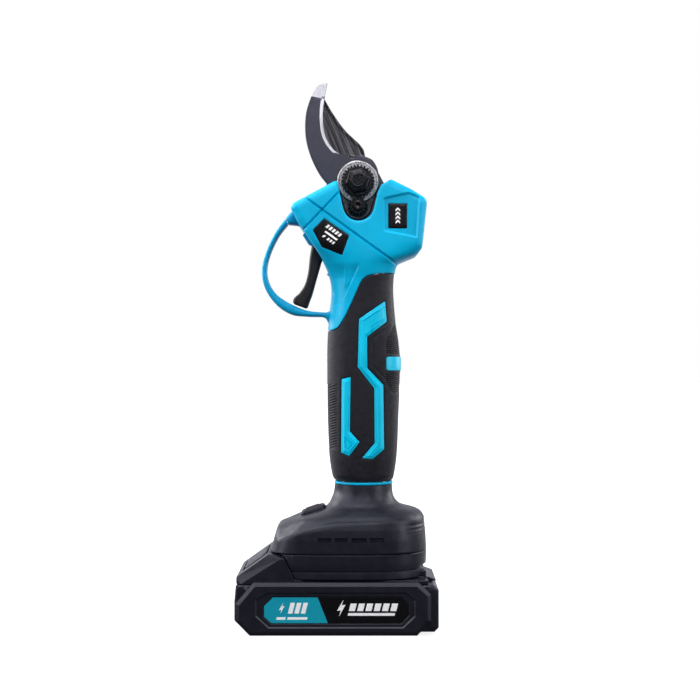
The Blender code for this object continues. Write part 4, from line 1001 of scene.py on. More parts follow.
def flat_mark(builder, outline, depth, side=FRONT):
    """A thin printed shape lying on a surface whose depth is given by a formula."""
    loop = anticlockwise(outline)
    region = triangulate([loop], spacing=1.5)
    add_relief(builder, region, lambda x, z: depth(x, z) + 0.05, side, back=lambda x, z: depth(x, z) - 0.02)


def turned_shape(outline, centre, angle, scale=1.0):
    turn = radians(angle)
    return [(centre[0] + scale * (u * cos(turn) - v * sin(turn)),
             centre[1] + scale * (u * sin(turn) + v * cos(turn))) for u, v in outline]


def bar(u, v, length, height):
    """A slanted bar as printed marks have."""
    lean = 0.25 * height
    return [(u, v), (u + length, v), (u + length + lean, v + height), (u + lean, v + height)]


LEAF = [(0, 0), (1.1, 0.25), (2.0, 1.1), (2.3, 2.6), (1.0, 2.4), (0.15, 1.5)]
BOLT = [(0.0, 0.2), (1.6, 2.9), (1.2, 1.55), (2.1, 1.7), (0.5, -1.2), (0.95, 0.35)]


def head_labels():
    """Two black labels with generic marks: a leaf and bars on the first, chevrons on the second."""
    def on_label(loop):
        return lambda x, z: shell_depth(x, z, FRONT) + 0.28 - edge_round(distance(x, z, loop), 0.12)

    for name, loop, _ in HEAD_LABELS:
        builder = bmesh.new()
        region = triangulate([fillet(loop, 0.6, 3)], rounding=[(loop, 0.12, True)], spacing=1.2)
        add_relief(builder, region, on_label(loop), FRONT, back=lambda x, z: shell_depth(x, z, FRONT) - 0.1)
        finish_piece(name, builder, "label_black", "tool", slot="trigger_plastic")

    tilt, centre = -35.5, (-3.4, 223.6)
    shapes = [bar(-5.2 + 2.1 * k, 2.0, 1.3, 2.2) for k in range(5)]
    shapes += [bar(-4.0, -0.6, 8.4, 1.1)]
    shapes += [bar(-0.6 + 1.8 * k, -3.4, 1.1, 1.6) for k in range(3)]
    shapes += [[(-3.6 + 0.7 * u, -3.6 + 0.7 * v) for u, v in LEAF]]
    builder = bmesh.new()
    loop = HEAD_LABELS[0][1]
    for shape in shapes:
        flat_mark(builder, turned_shape(shape, centre, tilt), on_label(loop))
    finish_piece("label_side_print", builder, "label_white", "tool", slot="bright_steel")

    loop = HEAD_LABELS[1][1]
    builder = bmesh.new()
    for k in range(4):
        chevron = [(-1.3, 0), (0, 1.2), (1.3, 0), (1.3, 1.2), (0, 2.4), (-1.3, 1.2)]
        flat_mark(builder, [(34.6 + u, 230.2 + 2.3 * k + v) for u, v in chevron], on_label(loop))
    finish_piece("label_back_print", builder, "label_white", "tool", slot="bright_steel")


def even_line(points, count):
    """Evenly spaced points along a smooth curve through a few given ones."""
    fine = np.array(smooth_line(points, 400))
    run = np.concatenate([[0], np.cumsum(np.hypot(*np.diff(fine, axis=0).T))])
    steps = np.linspace(0, run[-1], count)
    return list(zip(np.interp(steps, run, fine[:, 0]), np.interp(steps, run, fine[:, 1])))


def strap(name, outer, inner, half_width, look, body, power=4.0, count=60, replaced=(), ends=(1, 1)):
    """A curved bar between two lines of the X-Z plane, of rounded rectangular section.

    Ends says, for the first and the last section, whether the bar's end is rounded off.
    """
    around = 32
    first, second = even_line(outer, count), even_line(inner, count)
    rows = []
    for i, ((ax, az), (bx, bz)) in enumerate(zip(first, second)):
        along, rounded = min((i, ends[0]), (count - 1 - i, ends[1]))
        shrink = {0: 0.8, 1: 0.94}.get(along, 1.0) if rounded else {0: 0.965}.get(along, 1.0)
        row = []
        for k in range(around):
            turn = 2 * pi * (k + 0.5) / around
            u, v = cos(turn), sin(turn)
            u = np.sign(u) * abs(u) ** (2 / power) * shrink
            v = np.sign(v) * abs(v) ** (2 / power) * (1 - (1 - shrink) * 0.4)
            row.append(((ax + bx) / 2 + u * (ax - bx) / 2, v * half_width, (az + bz) / 2 + u * (az - bz) / 2))
        rows.append(row)
    builder = bmesh.new()
    skin(builder, rows)
    bmesh.ops.recalc_face_normals(builder, faces=builder.faces)
    return finish_piece(name, builder, look, body, replaced, sharp=60)


def guard():
    """The hoop in front of the trigger, and the roots by which it joins the head moulding."""
    half = span("trigger_guard")[1].y
    outer = [(-29.9, 234.6), (-35.6, 226.8), (-41.0, 215.6), (-43.5, 204.6), (-41.6, 194.2), (-35.2, 184.9),
             (-26.6, 179.2), (-17.0, 177.9), (-8.2, 177.7)]
    inner = [(-28.1, 231.2), (-33.4, 224.4), (-38.2, 214.6), (-40.4, 205.4), (-39.2, 197.6), (-34.8, 190.8),
             (-26.8, 185.4), (-17.6, 181.6), (-8.2, 180.5)]
    strap("finger_guard", outer, inner, half, "guard_plastic", "tool", power=3.2, count=120,
          replaced=["trigger_guard"], ends=(0, 0))
    strap("guard_root_upper", [(-17.0, 243.2), (-24.6, 240.4), (-29.8, 234.7)],
          [(-14.0, 228.0), (-22.4, 230.4), (-27.9, 231.1)], half, "guard_plastic", "tool", power=3.2,
          count=24, ends=(1, 0))
    strap("guard_root_lower", [(-8.35, 177.6), (-6.6, 176.9), (-5.2, 174.6), (-3.0, 170.6)],
          [(-8.35, 180.6), (-6.4, 180.5), (-4.2, 181.6), (-0.4, 187.0)], half, "guard_plastic", "tool",
          power=3.2, count=24, ends=(0, 1))
    tab = anticlockwise([(-19.9, 225.2), (-18.8, 226.2), (-11.0, 221.0), (-11.0, 217.0), (-16.6, 219.9)])
    builder = bmesh.new()
    profile = [(0.5, -4.0), (0.15, -3.85), (0, -3.5), (0, 3.5), (0.15, 3.85), (0.5, 4.0)]
    stack(builder, fillet(tab, 0.5, 3), profile)
    finish_piece("stop_tab", builder, "guard_plastic", "tool")


def stack(builder, outline, profile, place=lambda u, v, h: (u, h, v), ring=False):
    """Copies of an outline piled up: profile gives each one's inset and height. A ring closes on itself."""
    rows = [[place(u, v, h) for u, v in beside(outline, inset)] for inset, h in profile]
    if ring:
        rows.append(rows[0])
    add_skin(builder, rows, caps=not ring)


def add_skin(builder, rows, caps=True):
    """Adds a closed shape, given as rings of points, to mesh data."""
    part = bmesh.new()
    skin(part, rows, caps=caps)
    bmesh.ops.remove_doubles(part, verts=part.verts, dist=1e-5)
    bmesh.ops.recalc_face_normals(part, faces=part.faces)
    mesh = bpy.data.meshes.new("part")
    part.to_mesh(mesh)
    part.free()
    builder.from_mesh(mesh)
    bpy.data.meshes.remove(mesh)


def spin(builder, profile, centre, axis="Y", steps=64, ring=False):
    """A closed or capped solid of revolution from (radius, height) pairs."""
    rows = []
    for radius, height in profile + (profile[:1] if ring else []):
        turns = [2 * pi * k / steps for k in range(steps)]
        flat = [(radius * cos(t), radius * sin(t)) for t in turns]
        rows.append([(centre[0] + u, height, centre[1] + v) if axis == "Y" else (centre[0] + u, v, height)
                     for u, v in flat])
    add_skin(builder, rows, caps=not ring)


def trigger():
    half = span("trigger")[1].y
    front = [(-14.6, 219.4), (-15.8, 212.8), (-16.6, 205.0), (-18.4, 197.2), (-21.5, 192.0), (-25.0, 188.6),
             (-25.5, 185.4)]
    back = [(-3.6, 217.0), (-8.2, 211.0), (-9.9, 206.0), (-11.9, 199.0), (-14.2, 190.8), (-15.6, 187.0),
            (-17.2, 182.4)]
    strap("trigger_lever", front, back, half, "trigger_plastic", "trigger_lever", power=4.5, count=70,
          replaced=["trigger"])


# Blades


def hex_outline(centre, radius, turn):
    corners = circle(centre, radius, 6, turn, turn + 300)
    return resample(corners, hypot(corners[0][0] - corners[1][0], corners[0][1] - corners[1][1]) / 4)


def blade_hub(radius, count, start, end):
    """A blade's round hub, which draws in on its right side, beside the case."""
    points = []
    for i in range(count):
        angle = start + (end - start) * i / (count - 1)
        reach = 12.9 + (radius - 12.9) * min(1.0, max(0.0, (angle - 22) / 36))
        points.append((PIVOT[0] + reach * cos(radians(angle)), PIVOT[1] + reach * sin(radians(angle))))
    return points


def hook():
    """The fixed hooked blade: a slate-coated plate with a ground tip and a bright bevel on the inner edge."""
    low, high = span("fixed_blade")
    face, back = -low.y, -high.y
    bevel = 1.75
    inner = smooth_line([(-5.6, 312.2), (-7.3, 303.4), (-8.2, 294.0), (-7.1, 283.2), (-3.3, 275.8),
                         (1.6, 271.8), (7.4, 270.8)], 60)
    outer = smooth_line([(-5.8, 254.4), (-10.6, 260.8), (-15.4, 270.8), (-18.1, 281.6), (-18.0, 294.0),
                         (-15.2, 303.8), (-12.0, 310.6), (-8.2, 312.6)], 60)
    hub = blade_hub(15.6, 50, 86, -120)
    tail = circle((-2.8, 239.8), 3.6, 8, -60, -160) + circle((-4.0, 245.8), 4.8, 6, 200, 150)
    loop = anticlockwise(inner + hub + tail + outer)
    hole = circle(PIVOT, 4.3, 32)
    start = [p for p in beside(inner, -bevel, False) if 272.4 < p[1] < 303.4]
    tip = [(-16.5, 305.2), (-14.6, 304.7), (-8.4, 303.3), (-6.0, 306.2)]
    bevel_zone = [p for p in inner if 271.6 < p[1] < 304.2] + start[::-1]
    tip_zone = tip + [(-3.0, 313.5), (-16.5, 313.5)]
    # A small nick in the hub. Its floor is painted in the dark black oxide finish as painted shade, standing
    # in for the shadow inside it.
    nick_with_painted_shade = circle((8.8, 270.9), 2.3, 20)

    def depth(x, z):
        d = np.full(np.shape(x), face)
        away = distance(x, z, inner, False)
        reach = ramp((z - 271.5) / 1.2) * ramp((304.4 - z) / 0.9)
        d = d - 2.6 * np.clip(1 - away / bevel, 0, 1) * reach
        d = d - np.where(within(x, z, tip_zone), 0.09 * np.clip(z - 303.0, 0, 12), 0)
        d = d - pocket(x, z, nick_with_painted_shade, 0.25, 4.4)
        d = d - edge_round(distance(x, z, outer, False), 0.7)
        return d - edge_round(distance(x, z, hub, False), 0.8)

    def paint(x, z):
        point = np.array([x]), np.array([z])
        # Finish 2, black oxide, on the nick's floor is painted shade.
        if within(*point, nick_with_painted_shade)[0]:
            return 2
        return 3 if within(*point, tip_zone)[0] else int(within(*point, bevel_zone)[0])

    marks = [(clip_inside(start, loop), False), (clip_inside(tip, loop), False), (nick_with_painted_shade, True),
             (circle((8.8, 270.9), 2.05, 18), True)]
    region = triangulate([loop, hole], marks, [(outer[::-1], 0.7, False), (hub[::-1], 0.8, False)], 1.0)
    builder = bmesh.new()
    add_relief(builder, region, depth, FRONT, back=back, paint=paint)
    # The black oxide finish in this list is the nick's painted shade.
    finish_piece("hook_blade", builder, ["hook_steel", "ground_edge", "black_steel", "ground_tip"], "tool",
                 ["fixed_blade"], "hook_steel", 25)


def clip_inside(line, loop):
    """The part of a line that is inside an outline."""
    fine = resample(line, 0.5, closed=False)
    xs, zs = np.array(fine).T
    return [p for p, k in zip(fine, within(xs, zs, loop)) if k]


def gear_outline(teeth, module, centre, phase=0.0, share=0.43, first=0, last=None):
    """Tooth corners of a spur gear, with one tooth centred on the phase, in radians."""
    radius = teeth * module / 2
    middle_half, slope = share * pi / teeth, tan(radians(20)) / radius
    root_half, tip_half = middle_half + slope * module * 0.6, middle_half - slope * module * 0.86
    points = []
    for k in range(first, teeth if last is None else last):
        angle = phase + 2 * pi * k / teeth
        for reach, turn in ((radius - 1.1 * module, -root_half), (radius + 0.86 * module, -tip_half),
                            (radius + 0.86 * module, tip_half), (radius - 1.1 * module, root_half)):
            points.append((centre[0] + reach * cos(angle + turn), centre[1] + reach * sin(angle + turn)))
    return points


def cutting_blade():
    """The moving blade: a streaked plate, ground hollow along its edge, with a toothed sector below."""
    low, high = span("moving_blade")
    face, rear = -low.y, -high.y
    back = smooth_line([(-7.2, 303.8), (-2.4, 295.6), (4.7, 285.8), (12.6, 278.2), (15.4, 274.6)], 50)
    edge = smooth_line([(-2.6, 259.0), (-8.4, 268.4), (-12.2, 279.0), (-12.6, 290.0), (-10.4, 299.0),
                        (-7.8, 303.6)], 50)
    hollow = 4.6
    mesh_line = atan2(CROSS[1] - PIVOT[1], CROSS[0] - PIVOT[0])
    sector = gear_outline(40, 1.0, PIVOT, mesh_line, first=-2, last=8)
    loop = anticlockwise(back + blade_hub(15.0, 20, 72, 8) + sector[::-1] + circle(PIVOT, 15.0, 14, 248, 182)
                         + edge)
    ground = clip_inside(beside(edge, -hollow, False), loop)

    def depth(x, z):
        spine = distance(x, z, back, False)
        beyond_hub = ramp((np.hypot(x - PIVOT[0], z - PIVOT[1]) - 15.2) / 0.3)
        return face - 0.5 * ramp((spine - 0.2) / 1.6) * beyond_hub - edge_round(spine, 0.5)

    def behind(x, z):
        away = distance(x, z, edge, False)
        return rear + np.where(away < hollow, 3.1 * (1 - away / hollow) * ramp((z - 258) / 6), 0)

    region = triangulate([loop, circle(PIVOT, 4.15, 32)], [(ground, False)], [(back, 1.2, False)], 1.0)
    builder = bmesh.new()
    add_relief(builder, region, depth, FRONT, back=behind)
    finish_piece("cutting_blade", builder, "blade_steel", "cutting_blade", ["moving_blade"], sharp=25)


def gear_case_front():
    """The cast front plate of the gear case, with the raised boss that the notch bares."""
    low, high = span("front_case_plate")
    plate = hull(circle(PIVOT, 12.9) + circle((-3.0, 242.6), 5.5) + circle(middle("case_screw_1"), 4.6, 24)
                 + circle(middle("case_screw_2"), 4.6, 24) + circle(CROSS, 8.6, 24))
    boss = hull(circle(PIVOT, 12.2, 60) + circle(LOCK, 8.0, 40))

    def depth(x, z):
        rise = np.where(within(x, z, boss), ramp(distance(x, z, boss) / 0.7) * (-low.y - 10.0), 0)
        web = 0.35 * np.where(within(x, z, boss), ramp((distance(x, z, boss) - 1.6) / 0.6), 0)
        return 10.0 + rise - web * (np.hypot(x - PIVOT[0], z - PIVOT[1]) > 11.9)

    marks = [(boss, True), (beside(boss, 0.7), True)]
    region = triangulate([plate, circle(PIVOT, 4.3, 32)], marks, spacing=1.2)
    builder = bmesh.new()
    add_relief(builder, region, depth, FRONT, back=-high.y)
    finish_piece("gear_case_front", builder, "case_alloy", "tool", ["front_case_plate"])


def pivot_bolt():
    """The bolt that the cutting blade turns on: its end in front, its hexagon head at the rear."""
    low, high = span("pivot_bolt")
    y, top = low.y, high.y
    builder = bmesh.new()
    spin(builder, [(0.2, y + 0.4), (2.9, y + 0.4), (3.15, y + 0.05), (3.4, y), (3.8, y + 0.35),
                   (4.0, y + 0.9), (4.0, 16.2)], PIVOT)
    hexagon = hex_outline(PIVOT, 7.4, 0)
    stack(builder, hexagon, [(0, 16.0), (0, top - 0.9), (0.25, top - 0.45), (0.7, top - 0.12), (1.3, top)])
    spin(builder, [(5.9, top - 0.4), (5.9, top - 0.02), (5.4, top - 0.3), (0.3, top - 0.45)], PIVOT)
    finish_piece("blade_bolt", builder, "black_steel", "tool", ["pivot_bolt"])


def pivot_washer():
    """The washer under the nut, with a bright rim round a darker face."""
    low, high = span("pivot_washer")
    builder = bmesh.new()
    spin(builder, [(4.3, high.y), (11.5, high.y), (11.8, high.y - 0.25), (11.8, low.y + 0.4),
                   (11.45, low.y + 0.02), (10.95, low.y), (10.7, low.y + 0.25), (4.3, low.y + 0.25)],
         PIVOT, steps=96, ring=True)
    for face in builder.faces:
        centre = face.calc_center_median()
        face.material_index = int(hypot(centre.x - PIVOT[0], centre.z - PIVOT[1]) < 10.9)
    finish_piece("bolt_washer", builder, ["bright_steel", "washer_face"], "tool", ["pivot_washer"])


def toothed_nut():
    low, high = span("blade_nut")
    teeth = anticlockwise(gear_outline(28, 0.64, PIVOT, 0.0, 0.46))
    builder = bmesh.new()
    stack(builder, teeth, [(0.3, high.y), (0, high.y - 0.3), (0, -16.1), (0.3, -16.4)])
    hexagon = hex_outline(PIVOT, 7.2, 12)
    y = low.y
    stack(builder, hexagon, [(0, -16.2), (0, y + 0.9), (0.2, y + 0.45), (0.6, y + 0.12), (1.1, y)])
    spin(builder, [(4.9, y + 0.3), (4.9, y), (4.5, y + 0.5), (4.25, y + 1.2)], PIVOT)
    finish_piece("toothed_nut", builder, "black_steel", "tool", ["blade_nut"])


def lock_disc():
    """The small toothed disc that locks the nut, and its screw."""
    low, high = span("lock_gear")
    teeth = anticlockwise(gear_outline(16, 0.64, LOCK, pi / 2 + pi / 16, 0.42))
    builder = bmesh.new()
    stack(builder, teeth, [(0.25, high.y), (0, high.y - 0.25), (0, low.y + 0.25), (0.25, low.y)])
    spin(builder, [(2.1, -12.1), (2.1, -14.0)], LOCK)
    finish_piece("lock_disc", builder, "black_steel", "tool", ["lock_gear"])

    low, _ = span("lock_screw")
    builder = bmesh.new()
    socket_head(builder, LOCK, low.y, 2.1, 2.9, 1.4)
    finish_piece("lock_disc_screw", builder, "black_steel", "tool", ["lock_screw"])


def socket_head(builder, centre, top, height, radius, socket, outward=-1, shank=None):
    """A round screw head with a hexagon socket. Outward is the direction along Y that it faces."""
    columns = 24
    turns = [2 * pi * k / columns for k in range(columns)]

    def ring_of(reach, depth, hexed=False):
        row = []
        for t in turns:
            wave = cos(pi / 6) / cos((t % (pi / 3)) - pi / 6) if hexed else 1.0
            across, up = reach * wave * cos(t), reach * wave * sin(t)
            row.append((centre[0] + across, top - outward * depth, centre[1] + up))
        return row

    rows = [ring_of(radius, height), ring_of(radius, 0.5), ring_of(radius - 0.15, 0.18),
            ring_of(radius - 0.5, 0), ring_of(socket + 0.25, 0), ring_of(socket, 0.2, True),
            ring_of(socket, height * 0.7, True), ring_of(socket * 0.3, height * 0.8, True)]
    add_skin(builder, rows)
    if shank:
        reach, length = shank
        ends = sorted((top - outward * (height - 0.1), top - outward * (height + length)))
        spin(builder, [(reach, ends[0]), (reach, ends[1])], centre, steps=16)


def housing_screw_heads():
    for k, (x, z, top) in enumerate(HOUSING_SCREWS, 1):
        builder = bmesh.new()
        low, _ = span(f"housing_screw_{k}")
        socket_head(builder, (x, z), top, 1.9, 2.2, 1.05, REAR, (1.25, top - 1.9 - low.y))
        finish_piece(f"shell_screw_{k}", builder, "black_steel", "tool", [f"housing_screw_{k}"])


# Foot

WALL = np.array([(44.75, -37.6, 51.6, 35.0), (52.0, -35.8, 51.2, 35.0), (58.0, -34.0, 50.8, 34.6),
                 (61.0, -31.8, 50.4, 34.0), (65.0, -29.0, 49.8, 33.4)])
SHOULDER = [(62.5, -23.0, 50.2, 31.0), (65.0, -14.2, 49.0, 28.0), (67.2, -7.6, 45.6, 24.6),
            (69.6, -4.9, 37.2, 20.6), (72.8, -3.3, 33.6, 18.4), (76.5, -1.9, 32.2, 17.3),
            (81.4, -1.2, 31.8, 16.6)]
KEY_FRAME = ((-18.8, 62.5), (-7.4, 66.4))
LATCH_FRAME = ((-56.2, 31.6), (-38.3, 44.3))


def plan_point(turn, z, front, back, half, lift=0.0):
    """A point of a horizontal outline of the foot: squarish towards the front and round at the back."""
    x, y = cos(turn), sin(turn)
    reach = (back - HANDLE_X if x > 0 else HANDLE_X - front) + lift
    flatness = min(1.0, max(0.0, (76 - z) / 12))
    power = 2.0 + flatness * (0.5 if x > 0 else 3.0)
    return Vector((HANDLE_X + reach * abs(x) ** (2 / power) * (1 if x > 0 else -1),
                   (half + lift) * abs(y) ** (2 / power) * (1 if y > 0 else -1), z))


def wall_point(turn, z, lift=0.0):
    front, back, half = (float(np.interp(z, WALL[:, 0], WALL[:, k])) for k in (1, 2, 3))
    point = plan_point(turn, 50, front, back, half, lift)
    point.z = z
    return point


def crease_height(turn):
    """Height of the edge between the foot's side wall and its sloping shoulder."""
    point = wall_point(turn, 56)
    side = float(np.interp(point.x, (-32.4, -1.7, 15.0, 43.7, 51.0), (52.8, 62.2, 63.2, 63.8, 63.9)))
    share = min(1.0, abs(point.y) / 30)
    front = 59.4 - 6.6 * share**2.4
    return side + (front - side) * float(ramp((-31.0 - point.x) / 3.0))


def foot_cover():
    """The neck and shoulder over the battery, with a crease round its side wall and slots in it."""
    columns = 160
    turns = [2 * pi * (k + 0.5) / columns for k in range(columns)]
    wall_steps, bend_steps, top_steps = 30, 7, 44
    lines = []
    for turn in turns:
        top = crease_height(turn)
        crease = wall_point(turn, top)
        control = [plan_point(turn, *row) for row in SHOULDER]
        soft = 2.2
        below = wall_point(turn, top - soft)
        onward = crease + (control[0] - crease).normalized() * min(soft, (control[0] - crease).length * 0.6)
        line = [wall_point(turn, 44.75, -2.6), wall_point(turn, 44.75, -0.5), wall_point(turn, 44.9, -0.15)]
        for k in range(wall_steps):
            z = 45.25 + (below.z - 45.25) * k / wall_steps
            back_share = max(0.0, cos(turn))
            bands = 0.28 * float(ramp((back_share - 0.55) / 0.15)) * (0.5 + 0.5 * cos(2 * pi * z / 2.4))
            line.append(wall_point(turn, z, -bands * float(ramp((z - 55.2) / 0.8))))
        for k in range(bend_steps):
            t = k / (bend_steps - 1)
            line.append(below * (1 - t) ** 2 + crease * 2 * t * (1 - t) + onward * t * t)
        upper = smooth_line([tuple(onward)] + [tuple(p) for p in control], top_steps)
        line += [Vector(p) for p in upper[1:]]
        lines.append(line)
    rows = [[tuple(line[k]) for line in lines] for k in range(len(lines[0]))]
    builder = bmesh.new()
    skin(builder, rows)
    bmesh.ops.recalc_face_normals(builder, faces=builder.faces)
    made = finish_piece("foot_body", builder, "foot_plastic", "tool", ["foot_cover"], sharp=40)
    slots = []
    for side in (-1, 1):
        for low, high in ((-10.6, -3.0), (-1.1, 6.0), (8.5, 16.8), (18.7, 26.4)):
            near, far = sorted((side * 33.4, side * 40))
            slots.append(block((low, near, 51.5), (high, far, 54.0)))
    well = block((-4.7, -3.7, -6), (4.7, 3.7, 9))
    well.transform(slope_frame(KEY_FRAME))
    cut_away(made, *slots, well, sharp=40)


def adapter():
    """The lower part of the foot: a T-shaped channel that the battery's rails slide into."""
    low, high = span("battery_adapter")
    columns = 120
    levels = [(low.z, -1.1), (low.z + 0.5, -0.6), (34.6, -0.35), (34.9, -0.85), (35.3, -0.85), (35.6, -0.3),
              (40.0, -0.15), (44.0, -0.05), (high.z, -0.5)]
    rows = []
    for z, lift in levels:
        row = []
        for k in range(columns):
            point = plan_point(2 * pi * (k + 0.5) / columns, 50, -37.6, 51.6, 35.0, lift)
            row.append((point.x, point.y, z))
        rows.append(row)
    builder = bmesh.new()
    skin(builder, rows)
    bmesh.ops.recalc_face_normals(builder, faces=builder.faces)
    made = finish_piece("foot_adapter", builder, "foot_plastic", "tool", ["battery_adapter"], sharp=35)
    front = [(-80, 20), (-17.4, 20), (-29.2, 43.4), (-36.4, 48), (-80, 48)]
    cut_away(made, slab(front, -50, 50), block((-60, -25.6, 36.2), (40.6, 25.6, 42.6)),
             block((-60, -20.6, 25), (70, 20.6, 37.0)), sharp=35)
    settle(made, ("BEVEL", {"width": 0.45 * MM, "segments": 2, "limit_method": "ANGLE",
                            "angle_limit": radians(50)}), sharp=35)


def slope_frame(ends):
    """A frame, in millimetres, at the middle of a slope: X up the slope, Y across, Z out of it."""
    low, high = (Vector((x, 0, z)) for x, z in ends)
    along = (high - low).normalized()
    out = along.cross(Vector((0, 1, 0)))
    axes = Matrix((along, Vector((0, 1, 0)), out)).transposed().to_4x4()
    return Matrix.Translation((low + high) / 2) @ axes


def rectangle(length, width, radius, centre=(0, 0)):
    u, v = length / 2, width / 2
    corners = [(-u, -v), (u, -v), (u, v), (-u, v)]
    return fillet([(centre[0] + a, centre[1] + b) for a, b in corners], radius, 5)


def power_key():
    """The power button in its bezel on the front slope of the foot."""
    frame_here = slope_frame(KEY_FRAME)

    def place(u, v, h):
        return tuple(frame_here @ Vector((u, v, h)))

    builder = bmesh.new()
    bezel_length, bezel_width, window_length = 15.0, 12.4, 9.4
    inset = (bezel_length - window_length) / 2
    stack(builder, rectangle(bezel_length, bezel_width, 2.6),
          [(0.3, -1.2), (0, -0.8), (0, 1.6), (0.35, 2.6), (0.8, 3.2), (1.4, 3.5), (1.9, 3.5),
           (inset - 0.15, 3.2), (inset, 2.7), (inset, -1.2)], place, ring=True)
    finish_piece("key_bezel", builder, "foot_plastic", "tool", ["button_bezel"])
    builder = bmesh.new()
    profile = [(0, -1.2), (0, 3.4), (0.2, 3.85), (0.6, 4.1), (1.1, 4.2)]
    stack(builder, rectangle(8.8, 6.8, 1.3), profile, place)
    finish_piece("key_cap", builder, "trigger_plastic", "power_key", ["power_button"], "button_red")
    builder = bmesh.new()
    arc = circle((0, 0), 1.9, 26, 35, 325)
    inner_arc = circle((0, 0), 1.35, 26, 325, 35)
    stack(builder, anticlockwise(arc + inner_arc), [(0, 4.1), (0, 4.26)], place)
    stack(builder, rectangle(1.9, 0.5, 0.15, (1.5, 0)), [(0, 4.1), (0, 4.26)], place)
    finish_piece("key_symbol", builder, "button_red", "power_key")


def collar():
    low, high = span("collar_ring")
    inner, outer = 14.9, high.x - HANDLE_X
    builder = bmesh.new()
    spin(builder, [(inner, low.z), (outer - 0.4, low.z), (outer - 0.1, low.z + 0.25), (outer, low.z + 0.7),
                   (outer - 0.1, high.z - 0.25), (outer - 0.4, high.z), (inner, high.z)],
         (HANDLE_X, 0), "Z", 96, ring=True)
    finish_piece("collar", builder, "teal_plastic", "tool", ["collar_ring"])


# Battery

TUB = [(-56.2, 27.6), (-57.0, 18.5), (-57.0, 8.0), (-50.4, 1.6), (54.6, 1.6), (57.0, 4.0), (57.0, 25.0),
       (54.2, 27.6)]
PANEL = [(-46.2, 29.4), (-56.2, 17.6), (-56.2, 8.0), (-48.2, 0.0), (44.8, 0.0), (52.6, 8.0), (52.6, 22.8),
         (45.6, 29.4)]
RECESS = [(-45.1, 20.1), (-45.1, 10.8), (-37.8, 4.2), (37.1, 4.2), (44.0, 10.8), (44.0, 20.1), (38.7, 24.2),
          (-38.6, 24.2)]
LABEL = [(-40.2, 16.5), (-40.2, 10.8), (-36.1, 7.1), (35.9, 7.1), (39.9, 11.6), (39.9, 16.5), (36.3, 21.3),
         (-35.3, 21.3)]
LABEL_SPLIT = [(-10.5, 21.3), (-4.8, 7.1)]


def panel_depth(x, z):
    """The battery's side: a chamfered plate with a stepped recess round its label."""
    depth = 37.0 - 1.3 * np.clip(1 - distance(x, z, PANEL) / 2.0, 0, 1)
    depth = depth - pocket(x, z, RECESS, 0.8, 0.7)
    return depth - pocket(x, z, beside(LABEL, -0.7), 0.4, 0.35)


def battery_tub():
    half = 33.8
    region = triangulate([fillet(TUB, 1.0, 4)], rounding=[(TUB, 1.0, True)], spacing=4.0)
    builder = bmesh.new()

    def depth(x, z):
        return half - edge_round(distance(x, z, TUB), 1.0)

    add_relief(builder, region, depth, FRONT, back=lambda x, z: -depth(x, z))
    made = finish_piece("battery_body", builder, "battery_plastic", "battery", ["battery_tub"], sharp=30)
    cut_away(made, block((-49.4, -31.0, 3.0), (49.4, 31.0, 40)), sharp=30)
    pad = bmesh.new()
    stack(pad, rectangle(91.0, 58.0, 2.0, (-1.7, 0)), [(0.6, 0), (0.15, 0.15), (0, 0.6), (0, 2.2)],
          lambda u, v, h: (u, v, h))
    finish_piece("battery_pad", pad, "battery_plastic", "battery")
    label_rim = beside(LABEL, -0.7)
    marks = [(beside(PANEL, 2.0), True), (RECESS, True), (beside(RECESS, 0.8), True), (label_rim, True),
             (beside(label_rim, 0.4), True)]
    region = triangulate([PANEL], marks, spacing=2.5)
    for side, name in ((FRONT, "front"), (REAR, "rear")):
        builder = bmesh.new()
        add_relief(builder, region, panel_depth, side, back=31.4)
        finish_piece("battery_panel_" + name, builder, "battery_plastic", "battery", sharp=20)
        battery_label(side, name)


def battery_label(side, name):
    """A two-colour label: a teal part and a black part, with bars and lightning shapes printed on it."""
    top, low = LABEL_SPLIT
    left = [top, LABEL[-1], *LABEL[:3], low]
    right = [low, *LABEL[3:-1], top]

    def on_panel(x, z):
        return panel_depth(x, z) + 0.3

    for part, look_name, shape in (("colour", "label_teal", left), ("black", "label_black", right)):
        shape = [(-x if side > 0 else x, z) for x, z in shape]
        builder = bmesh.new()
        add_relief(builder, triangulate([anticlockwise(shape)], spacing=3), on_panel, side,
                   back=lambda x, z: panel_depth(x, z) - 0.1)
        finish_piece(f"battery_label_{part}_{name}", builder, look_name, "battery", slot="battery_plastic")
    shapes = [turned_shape(BOLT, (-32.0, 14.0), 0, 1.5)]
    shapes += [bar(-27.0 + 3.6 * k, 12.4, 2.5, 6.0) for k in range(3)]
    shapes += [bar(-33.5, 9.0, 5.0, 1.4), bar(-27.4, 9.0, 11.0, 1.4)]
    shapes += [turned_shape(BOLT, (0.2, 13.4), 0, 2.3), bar(6.2, 11.2, 26.0, 1.5)]
    shapes += [bar(6.8 + 4.6 * k, 13.8, 3.4, 4.2) for k in range(6)]
    builder = bmesh.new()
    for shape in shapes:
        shape = [(-x if side > 0 else x, z) for x, z in shape]
        flat_mark(builder, shape, on_panel, side)
    finish_piece(f"battery_print_{name}", builder, "label_white", "battery", slot="bright_steel")


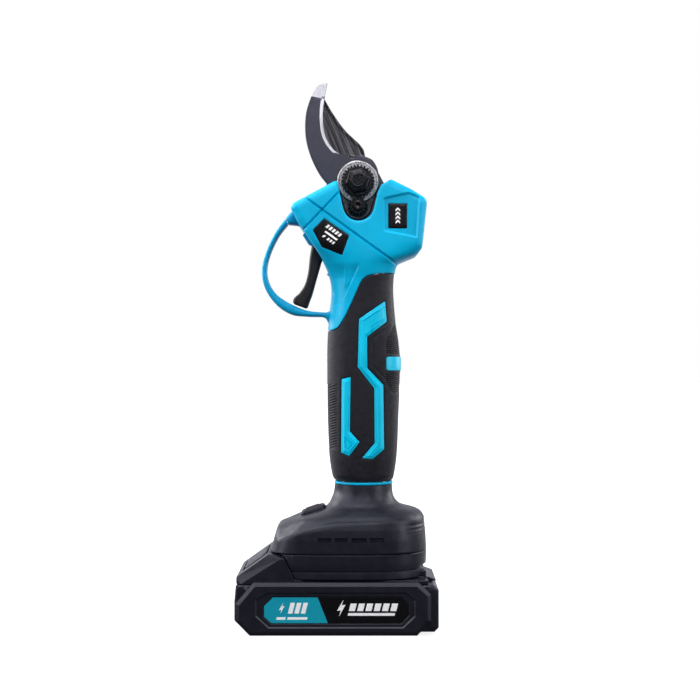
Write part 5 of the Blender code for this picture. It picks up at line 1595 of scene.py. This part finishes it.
def latch_button():
    """The button on the battery's front slope, with grip ribs."""
    frame_here = slope_frame(LATCH_FRAME)

    def place(u, v, h):
        return tuple(frame_here @ Vector((u, v, h)))

    builder = bmesh.new()
    profile = [(0.3, -3.4), (0, -3.1), (0, -0.2), (0.2, 0.3), (0.6, 0.65), (1.1, 0.75)]
    stack(builder, rectangle(14.5, 36.6, 2.4, (1.2, 0)), profile, place)
    for k in range(6):
        rib = rectangle(0.9, 28.0, 0.4, (-3.4 + 1.9 * k, 0))
        stack(builder, rib, [(0, 0.5), (0, 0.8), (0.25, 0.86)], place)
    finish_piece("latch_key", builder, "battery_plastic", "latch", ["latch_button"])


# CAD nodes that stay

KEPT = {
    "case_alloy": ["rear_case_plate"],
    "bright_steel": ["pinion_shaft", "bevel_gear", "bevel_pinion", "front_shaft_bearing",
                     "rear_shaft_bearing", "gearbox_ring", "output_bearing", "planet_carrier",
                     "planet_gear_1", "planet_gear_2", "planet_gear_3", "gearbox_plate", "motor_can",
                     "motor_face", "motor_end_bell", "motor_rotor", "trigger_pin", "trigger_spring",
                     "case_screw_1", "case_screw_2", "hook_screw_1", "hook_screw_2"],
    "motor_windings": ["stator_core"],
    "circuit_board": ["controller_board", "trigger_sensor_board", "battery_board"],
    "cell_sleeve": [f"battery_cell_{k}" for k in range(1, 6)],
    "battery_plastic": ["battery_top"],
    "foot_plastic": ["terminal_block"],
}


def dress_kept_nodes():
    """Gives the CAD nodes that stay a finish, and three of them soft edges."""
    soft = {"battery_top": 0.5, "terminal_block": 0.3, "rear_case_plate": 0.4}
    for look, names in KEPT.items():
        for name in names:
            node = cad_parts[name]
            for k in range(max(1, len(node.material_slots))):
                if not node.material_slots:
                    node.data.materials.append(LOOKS[look].material)
                node.material_slots[k].material = LOOKS[look].material
            if name in soft:
                weld = node.modifiers.new("Weld", "WELD")
                weld.merge_threshold = 1e-6
                flat = node.modifiers.new("Flat faces", "DECIMATE")
                flat.decimate_type = "DISSOLVE"
                flat.angle_limit = radians(1)
                edge = node.modifiers.new("Edge round", "BEVEL")
                edge.width, edge.segments = soft[name] * MM, 2
                edge.limit_method, edge.angle_limit = "ANGLE", radians(35)


set_camera()
set_lights()
set_surround()
set_floor()
for one_side in (FRONT, REAR):
    shell(one_side)
    grip(one_side)
    inlays(one_side)
palm_patch()
head_labels()
guard()
trigger()
hook()
cutting_blade()
gear_case_front()
pivot_bolt()
pivot_washer()
toothed_nut()
lock_disc()
housing_screw_heads()
foot_cover()
adapter()
power_key()
collar()
battery_tub()
latch_button()
dress_kept_nodes()
